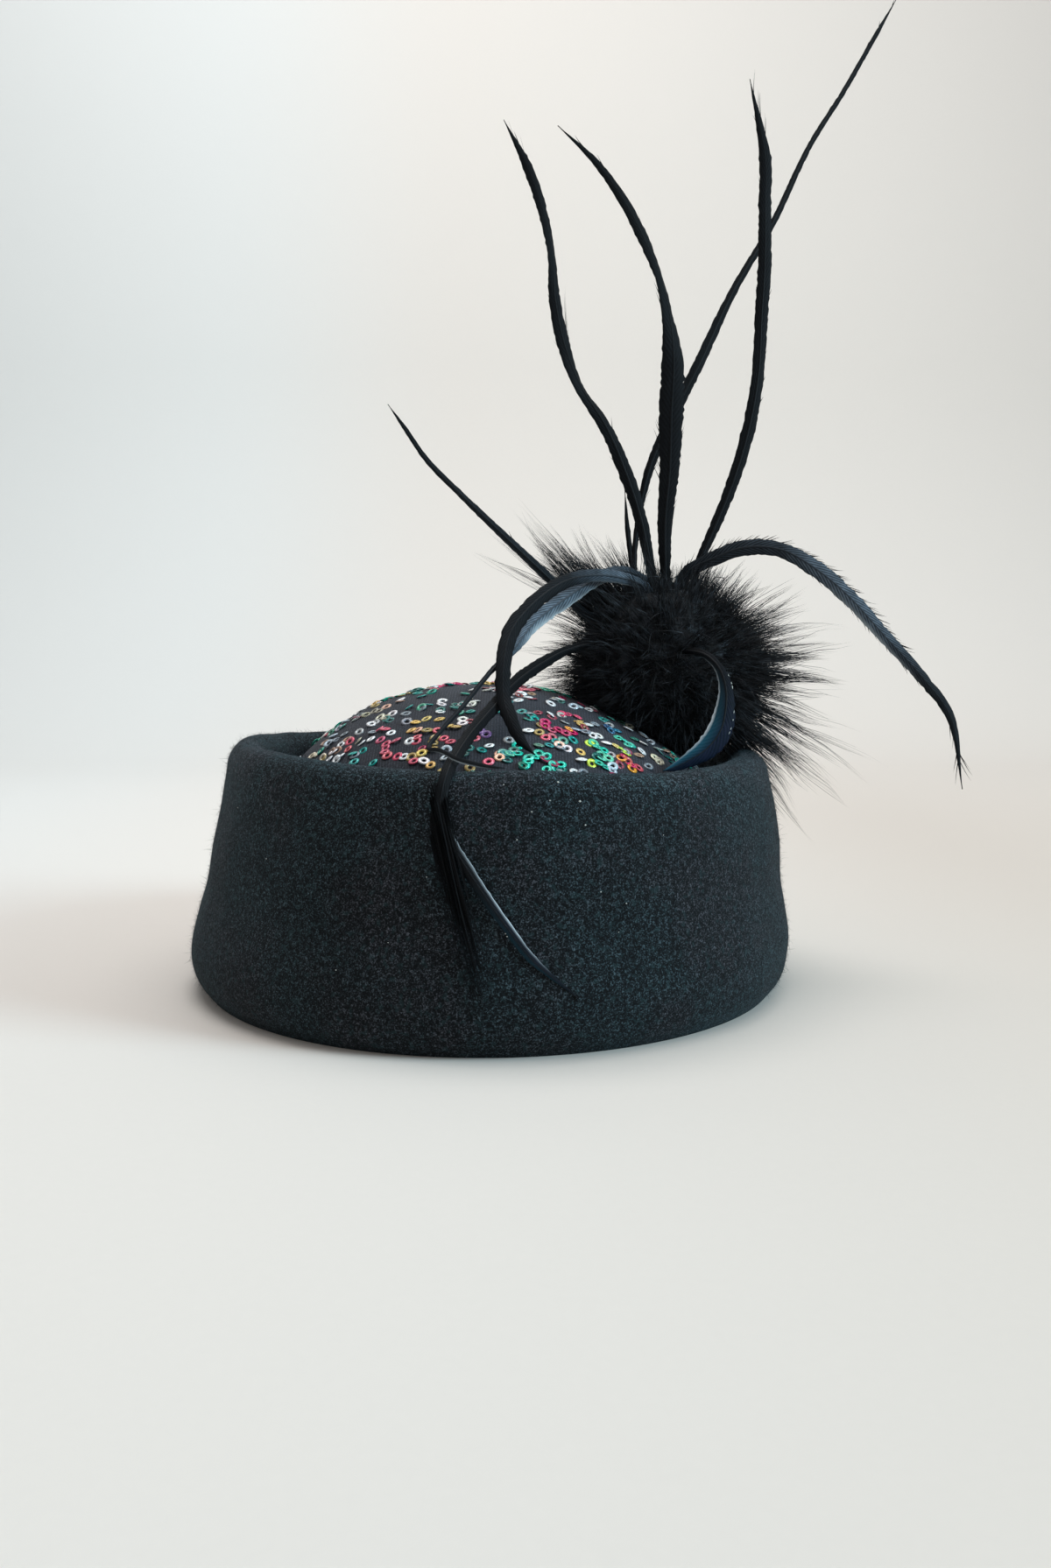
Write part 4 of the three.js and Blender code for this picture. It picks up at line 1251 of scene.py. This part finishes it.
def even_ways(count):
    """Ways spread evenly over all directions."""
    turn = np.arange(count) * GOLDEN_TURN
    rise = 1 - 2 * (np.arange(count) + 0.5) / count
    level = np.sqrt(1 - rise * rise)
    return np.column_stack([level * np.cos(turn), level * np.sin(turn), rise])


def puff_reach(ways):
    """How far the down reaches along each way."""
    angle = np.degrees(np.arctan2(ways[:, 2], ways[:, 0]))
    flat = np.hypot(ways[:, 0], ways[:, 2])
    return PUFF_DEPTH + (read_table(PUFF_OUTLINE, angle) - PUFF_DEPTH) * flat ** 3


def above_hat(spots):
    """Places moved up out of the dome and the roll that they would reach into."""
    reach = np.hypot(spots[:, 0] - HAT_X, spots[:, 1] / DOWN_FLOOR_STRETCH)
    lifted = spots.copy()
    lifted[:, 2] = np.maximum(spots[:, 2], read_table(DOWN_FLOOR, reach))
    return lifted


def clump_rows(random):
    """Every clump's way, reach, number of strands, and spread at its root and its tip."""
    for clumps, strands, least, most, shortness, spread, scatter in PUFF_LAYERS:
        ways = unit(even_ways(clumps) + random.normal(0, 0.05, (clumps, 3)))
        share = least + (most - least) * random.uniform(0, 1, clumps) ** shortness
        reaches = PUFF_BODY + (puff_reach(ways) - PUFF_BODY) * share
        for way, reach in zip(ways, reaches):
            yield way, reach, strands, spread, scatter
    for angle, front, reach, clumps, fan in PUFF_TUFTS:
        for _ in range(clumps):
            side = math.radians(angle + random.normal(0, fan))
            forward = math.radians(front + random.normal(0, fan))
            level = math.cos(forward)
            way = np.array([math.cos(side) * level, -math.sin(forward), math.sin(side) * level])
            yield way, reach * random.uniform(0.74, 1.0), TUFT_STRANDS, TUFT_SPREAD, TUFT_SCATTER


def puff_strands():
    """Roots, ways, reaches and bends of all the down, in clumps that come to a point."""
    random = np.random.default_rng(DOWN_SEED)
    centre = np.array(PUFF_CENTRE, float)
    heart = np.array(PUFF_HEART, float)
    roots, tips = [], []
    for way, reach, strands, spread, scatter in clump_rows(random):
        skin = DOWN_ROOT / np.linalg.norm(way / heart)
        place = centre + way * skin
        length = reach - skin
        sway = (random.normal(0, DOWN_SWAY, 3) - np.array([0, 0, DOWN_SINK])) * length
        own = random.uniform(0.42, 1.0, (strands, 1)) ** 0.6
        roots.append(place + random.normal(0, spread, (strands, 3)))
        tip = place + way * length * own + sway * own ** 2
        tips.append(tip + random.normal(0, scatter, (strands, 3)))
    roots, tips = np.vstack(roots), above_hat(np.vstack(tips))
    straight = tips - roots
    reaches = np.linalg.norm(straight, axis=1)
    ways = unit(0.35 * unit(roots - centre) + 0.65 * unit(straight))
    bends = straight - ways * reaches[:, None]
    return roots, ways, reaches, bends


def heart_mesh():
    """The lumpy ball that the down grows from."""
    rows, columns = HEART_ROWS, HEART_COLUMNS
    tilt = (np.pi * (np.arange(rows) + 1) / (rows + 1))[:, None]
    turn = 2 * np.pi * np.arange(columns) / columns
    level = np.broadcast_to(np.cos(tilt), (rows, columns))
    ball = np.stack([np.sin(tilt) * np.cos(turn), np.sin(tilt) * np.sin(turn), level], axis=-1)
    ball = np.vstack([ball.reshape(-1, 3), (0, 0, 1), (0, 0, -1)])
    lumps = 1 + HEART_LUMP_DEPTH * ripple(ball, HEART_LUMP_SIZE)[:, None]
    spots = np.array(PUFF_CENTRE) + ball * np.array(PUFF_HEART) * lumps
    faces = grid_faces(rows, columns, close_columns=True)[:, ::-1].tolist()
    top = rows * columns
    last = top - columns
    for i in range(columns):
        after = (i + 1) % columns
        faces.append((top, i, after))
        faces.append((top + 1, last + after, last + i))
    return new_mesh("puff_heart", spots, faces)


class HAT_OT_puff(bpy.types.Operator):
    """Makes the marabou puff: a dark heart and fine strands of down"""

    bl_idname = "hat.puff"
    bl_label = "Marabou puff"

    def execute(self, context):
        settings = context.scene.hat_puff
        finish = down_finish(settings)
        heart = add_object("puff_heart", heart_mesh())
        heart.data.materials.append(finish)
        hand_over(heart, ["feather_puff"])
        rows = puff_strands()
        for half, name in enumerate(("puff_down_inner", "puff_down_outer")):
            every_other = [column[half::2] for column in rows]
            add_strands(name, every_other, settings.strand_width / MM, DOWN_WAVER, finish)
        return {"FINISHED"}


# The feathers

def drape_route():
    """The draped feather's own rows, then those that lie on the front of the cuff."""
    lying = []
    for across, height, width, turn in DRAPE_ON_CUFF:
        depth = on_cuff(across, height, DRAPE_LIFT)[1]
        lying.append((across, depth, height, width, turn))
    return (*DRAPE_FRONT, *lying)


def feather_routes():
    """The rows of every feather."""
    return {
        "quill_tall_left": QUILL_TALL_LEFT, "quill_tall_middle": QUILL_TALL_MIDDLE,
        "quill_tall_right": QUILL_TALL_RIGHT, "quill_long": QUILL_LONG, "quill_short": QUILL_SHORT,
        "quill_low_left": QUILL_LOW_LEFT, "curl_left": CURL_LEFT, "curl_front": CURL_FRONT,
        "drape_front": drape_route(), "droop_right": DROOP_RIGHT, "well_curl": WELL_CURL,
    }


def feather_frame(route):
    """Stations along a feather: place, ahead, across, facing front, half width and run from the root."""
    rows = smooth_rows(route, FEATHER_STATION)
    place = rows[:, :3] + np.array([HAT_X, 0, 0])
    ahead = unit(np.gradient(place, axis=0))
    across = unit(np.cross(np.array([0.0, -1.0, 0.0]), ahead))
    front = unit(np.cross(ahead, across))
    turn = np.radians(rows[:, 4])[:, None]
    turned = across * np.cos(turn) + front * np.sin(turn)
    front = front * np.cos(turn) - across * np.sin(turn)
    half = rows[:, 3] / 2 / np.cos(turn[:, 0])
    run = np.concatenate([[0], np.cumsum(np.linalg.norm(np.diff(place, axis=0), axis=1))])
    return place, ahead, turned, front, half, run


def vane_ring(stations, random):
    """The places round a vane's section at every station, and their shares of the half width."""
    place, _, across, front, half, _ = stations
    half = np.maximum(half, LEAST_HALF_WIDTH)
    rows = np.arange(-VANE_HALF_ROWS, VANE_HALF_ROWS + 1) / VANE_HALF_ROWS
    frayed = 1 + VANE_FRAY * random.standard_normal((len(place), 2))
    sheets = []
    for side in (1, -1):
        sheet = []
        for u in rows:
            fray = frayed[:, 0] if u < 0 else frayed[:, 1]
            out = half * u * (fray if abs(u) == 1 else 1)
            wall = side * FEATHER_THICKNESS / 2 * (1 - EDGE_THINNING * u * u)
            crown = VANE_CROWN * half * (1 - u * u) + wall
            sheet.append(place + across * out[:, None] + front * crown[:, None])
        sheets.append(sheet if side == 1 else sheet[::-1])
    return np.stack(sheets[0] + sheets[1], axis=1), np.concatenate([rows, rows[::-1]])


def tube_faces(stations, count):
    """The faces of a closed tube of rings, with an end at each side."""
    faces = grid_faces(stations, count, close_columns=True)[:, ::-1].tolist()
    last = (stations - 1) * count
    return faces + [list(range(count)), list(range(last, last + count))[::-1]]


def shaft_ring(stations):
    """The places of a round shaft that stands a little proud of the vane's front."""
    place, _, across, front, half, _ = stations
    half = np.maximum(half, LEAST_HALF_WIDTH)
    share = np.linspace(0, 1, len(place))
    radius = (SHAFT_RADII[0] - SHAFT_RADII[1]) * (1 - share) + SHAFT_RADII[1]
    centre = place + front * (VANE_CROWN * half + SHAFT_LIFT)[:, None]
    turn = -2 * np.pi * np.arange(SHAFT_SIDES) / SHAFT_SIDES  # the same way round as the vane
    aside = across[:, None] * (radius[:, None] * np.cos(turn))[..., None]
    forward = front[:, None] * (radius[:, None] * np.sin(turn))[..., None]
    return centre[:, None] + aside + forward


def sheen_along(name, run, around, rod_sides):
    """What the finishes read at each place of a vane, then at each place of its shaft, the painted sheens
    and edge highlights among them.
    """
    share = run / run[-1]
    count = len(around)
    side = np.tile(around, len(run))
    vane = {
        "along": np.repeat(run, count), "across": side,
        "steel": read_table(PAINTED_SHEEN.get(name, PLAIN_PAINTED_SHEEN), np.repeat(share, count)),
        "pale": painted_edge_highlight(name, np.repeat(share, count), side),
        "blue": read_table(PAINTED_BLUE_SHEEN.get(name, NO_PAINTED_SHEEN), np.repeat(share, count)),
    }
    return {
        key: np.concatenate([values, np.repeat(values[::count], rod_sides)])
        for key, values in vane.items()
    }


def feather_mesh(name, route, seed):
    """A crowned vane with uneven edges, and the shaft along its middle as a second material."""
    stations = feather_frame(route)
    vane, around = vane_ring(stations, np.random.default_rng(seed))
    shaft = shaft_ring(stations)
    faces = tube_faces(*vane.shape[:2])
    shaft_faces = tube_faces(*shaft.shape[:2])
    base = vane.shape[0] * vane.shape[1]
    spots = np.vstack([vane.reshape(-1, 3), shaft.reshape(-1, 3)])
    shifted = [[base + corner for corner in face] for face in shaft_faces]
    attributes = sheen_along(name, stations[-1], around, SHAFT_SIDES)
    mesh = new_mesh(name + "_vane", spots, faces + shifted, attributes)
    return mesh, [0] * len(faces) + [1] * len(shaft_faces)


def painted_edge_highlight(name, share, side):
    """How much painted highlight an edge gets at each share of a feather's length and half width, where
    light catches it.
    """
    light = np.zeros(len(share))
    for feather, which, start, peak, end, strength, width in PAINTED_EDGE_HIGHLIGHTS:
        if feather == name:
            rise = np.interp(share, [start, peak, end], [0, 1, 0])
            light += strength * rise * smoothstep(side * which, 1 - 2 * width, 1 - 0.5 * width)
    return light


def barb_rows(routes):
    """Roots, ways, reaches and bends of the loose barbs at the feathers' edges."""
    random = np.random.default_rng(BARB_SEED)
    roots, ways, reaches, bends = [], [], [], []
    for name, side, first, last, count, length, slant in BARBS:
        place, ahead, across, front, half, _ = feather_frame(routes[name])
        for share in np.linspace(first, last, count):
            i = int(np.clip((share + random.uniform(-0.01, 0.01)) * (len(place) - 1), 0, len(place) - 1))
            lean = math.radians(slant * random.uniform(0.7, 1.3))
            edge = across[i] * side
            roots.append(place[i] + edge * half[i] * 0.8)
            ways.append(ahead[i] * math.cos(lean) + edge * math.sin(lean))
            reaches.append(length * random.uniform(0.6, 1.05))
            bends.append(edge * random.uniform(-0.2, 0.6) + front[i] * random.uniform(-0.5, 0.5))
    return np.array(roots), np.array(ways), np.array(reaches), np.array(bends)


def lying_barb_rows():
    """Roots, ways, reaches and bends of the dark barbs that lie down the front of the cuff; their lower run
    is a dark band of painted shadow, cast by the draped feather.
    """
    random = np.random.default_rng(LYING_BARB_SEED)
    roots, tips = [], []
    for _ in range(LYING_BARBS):
        across = random.uniform(*LYING_BARB_ROOTS[0])
        height = random.uniform(*LYING_BARB_ROOTS[1])
        drop = random.uniform(*LYING_BARB_DROPS)
        roots.append(on_cuff(across, height, LYING_BARB_LIFTS[0]))
        aside = drop * LYING_BARB_SLANT + random.normal(0, LYING_BARB_SCATTER)
        tips.append(on_cuff(across + aside, height - drop, LYING_BARB_LIFTS[1]))
    straight = np.array(tips) - np.array(roots)
    reaches = np.linalg.norm(straight, axis=1)
    bow = (reaches / LYING_BARB_DROPS[1])[:, None] ** 2 * np.array([0.0, LYING_BARB_BOW, 0.0])
    return np.array(roots), unit(straight + bow), np.linalg.norm(straight + bow, axis=1), -bow


def add_flecks():
    """The white flecks along the outer edge of the curl in the well."""
    place, ahead, across, front, half, _ = feather_frame(WELL_CURL)
    random = np.random.default_rng(FLECK_SEED)
    spots, faces = [], []
    for share, out in FLECKS:
        i = int(share * (len(place) - 1))
        lift = VANE_CROWN * half[i] * (1 - out * out) + FLECK_LIFT
        middle = place[i] + across[i] * half[i] * out + front[i] * lift
        base = 4 * len(spots)
        long, wide = ahead[i] * random.uniform(*FLECK_LENGTHS), across[i] * FLECK_WIDTH
        spots.append([middle - long, middle - wide + front[i] * 0.1, middle + long, middle + wide])
        faces += [(base, base + 1, base + 2, base + 3)]
    flecks = add_object("curl_flecks", new_mesh("curl_flecks", np.vstack(spots), faces))
    flecks.data.materials.append(lint_finish())
    hand_over(flecks)


class HAT_OT_feathers(bpy.types.Operator):
    """Makes the quills and the curled feathers"""

    bl_idname = "hat.feathers"
    bl_label = "Quills and curls"

    def execute(self, context):
        settings = context.scene.hat_feather
        vane = feather_finish(settings)
        shaft = quill_finish()
        routes = feather_routes()
        for seed, (name, route) in enumerate(routes.items()):
            mesh, material_of_face = feather_mesh(name, route, seed)
            mesh.materials.append(vane)
            mesh.materials.append(shaft)
            mesh.polygons.foreach_set("material_index", material_of_face)
            hand_over(add_object(name + "_vane", mesh), [name])
        add_strands("feather_barbs", barb_rows(routes), BARB_WIDTH, BARB_WAVER, vane)
        # The draped feather's lying barbs, whose lower run is painted shadow
        lying = lying_barb_rows()
        add_strands("drape_barbs", lying, LYING_BARB_WIDTH, LYING_BARB_WAVER, vane)
        add_flecks()
        return {"FINISHED"}


# The stage

class HAT_OT_stage(bpy.types.Operator):
    """Makes the camera, the pale floor and backdrop, and the lights"""

    bl_idname = "hat.stage"
    bl_label = "Stage"

    def execute(self, context):
        settings = context.scene.hat_stage
        add_camera(context.scene)
        add_backdrop(settings)
        for name, place, target, size, power, colour in LAMPS:
            add_lamp(name, place, target, size, getattr(settings, power), colour)
        add_sky(context.scene, settings.sky)
        return {"FINISHED"}


def add_camera(scene):
    data = bpy.data.cameras.new("camera")
    data.lens = CAMERA_LENS
    data.sensor_width = CAMERA_SENSOR
    data.clip_start = 0.01
    data.clip_end = 20.0
    camera = bpy.data.objects.new("camera", data)
    camera.location = CAMERA_PLACE
    camera.rotation_euler = (math.radians(90 + CAMERA_TILT), 0, 0)
    scene.collection.objects.link(camera)
    scene.camera = camera


def add_backdrop(settings):
    """A floor that turns up into a wall in one sweep."""
    rows = [(SWEEP_FRONT, 0.0), (0.0, 0.0), (SWEEP_BEND_FROM, 0.0)]
    for i in range(1, SWEEP_BEND_STEPS + 1):
        turn = math.pi / 2 * i / SWEEP_BEND_STEPS
        depth = SWEEP_BEND_FROM + SWEEP_BEND * math.sin(turn)
        rows.append((depth, SWEEP_BEND * (1 - math.cos(turn))))
    rows.append((SWEEP_BEND_FROM + SWEEP_BEND, SWEEP_TOP))
    spots = [(x, y, z) for y, z in rows for x in (-SWEEP_HALF_WIDTH, SWEEP_HALF_WIDTH)]
    faces = [(2 * i, 2 * i + 1, 2 * i + 3, 2 * i + 2) for i in range(len(rows) - 1)]
    sweep = add_object("studio_sweep", new_mesh("studio_sweep", np.array(spots) / MM, faces))
    sweep.data.materials.append(backdrop_finish(settings))


def add_lamp(name, place, target, size, power, colour):
    data = bpy.data.lights.new(name, "AREA")
    data.shape = "DISK"
    data.size = size
    data.energy = power
    data.color = colour
    lamp = bpy.data.objects.new(name, data)
    lamp.location = place
    lamp.rotation_euler = (Vector(target) - Vector(place)).to_track_quat("-Z", "Y").to_euler()
    bpy.context.scene.collection.objects.link(lamp)


def add_sky(scene, strength):
    world = bpy.data.worlds.new("pale_sky")
    world.use_nodes = True
    background = world.node_tree.nodes["Background"]
    background.inputs["Color"].default_value = SKY_COLOUR
    background.inputs["Strength"].default_value = strength
    scene.world = world
    scene.view_settings.view_transform = "Standard"


class HAT_PT_parts(bpy.types.Panel):
    """Lists the steps that build the hat"""

    bl_idname = "HAT_PT_parts"
    bl_label = "Pillbox hat"
    bl_space_type = "VIEW_3D"
    bl_region_type = "UI"
    bl_category = "Hat"

    def draw(self, context):
        for step in STEPS:
            self.layout.operator(step.bl_idname)
        for group in GROUPS:
            settings = getattr(context.scene, group)
            for key in settings.__annotations__:
                self.layout.prop(settings, key)


STEPS = (HAT_OT_stage, HAT_OT_felt_cuff, HAT_OT_crown, HAT_OT_sequins, HAT_OT_puff, HAT_OT_feathers)
GROUPS = {
    "hat_stage": HatStageSettings,
    "hat_felt": HatFeltSettings,
    "hat_crown": HatCrownSettings,
    "hat_puff": HatPuffSettings,
    "hat_feather": HatFeatherSettings,
}


def register():
    for kind in (*GROUPS.values(), *STEPS, HAT_PT_parts):
        bpy.utils.register_class(kind)
    for name, kind in GROUPS.items():
        setattr(bpy.types.Scene, name, bpy.props.PointerProperty(type=kind))


def unregister():
    for name in GROUPS:
        delattr(bpy.types.Scene, name)
    for kind in reversed((*GROUPS.values(), *STEPS, HAT_PT_parts)):
        bpy.utils.unregister_class(kind)


def main():
    register()
    bpy.ops.hat.stage()
    bpy.ops.hat.felt_cuff()
    bpy.ops.hat.crown()
    bpy.ops.hat.sequins()
    bpy.ops.hat.puff()
    bpy.ops.hat.feathers()


if __name__ == "__main__":
    main()
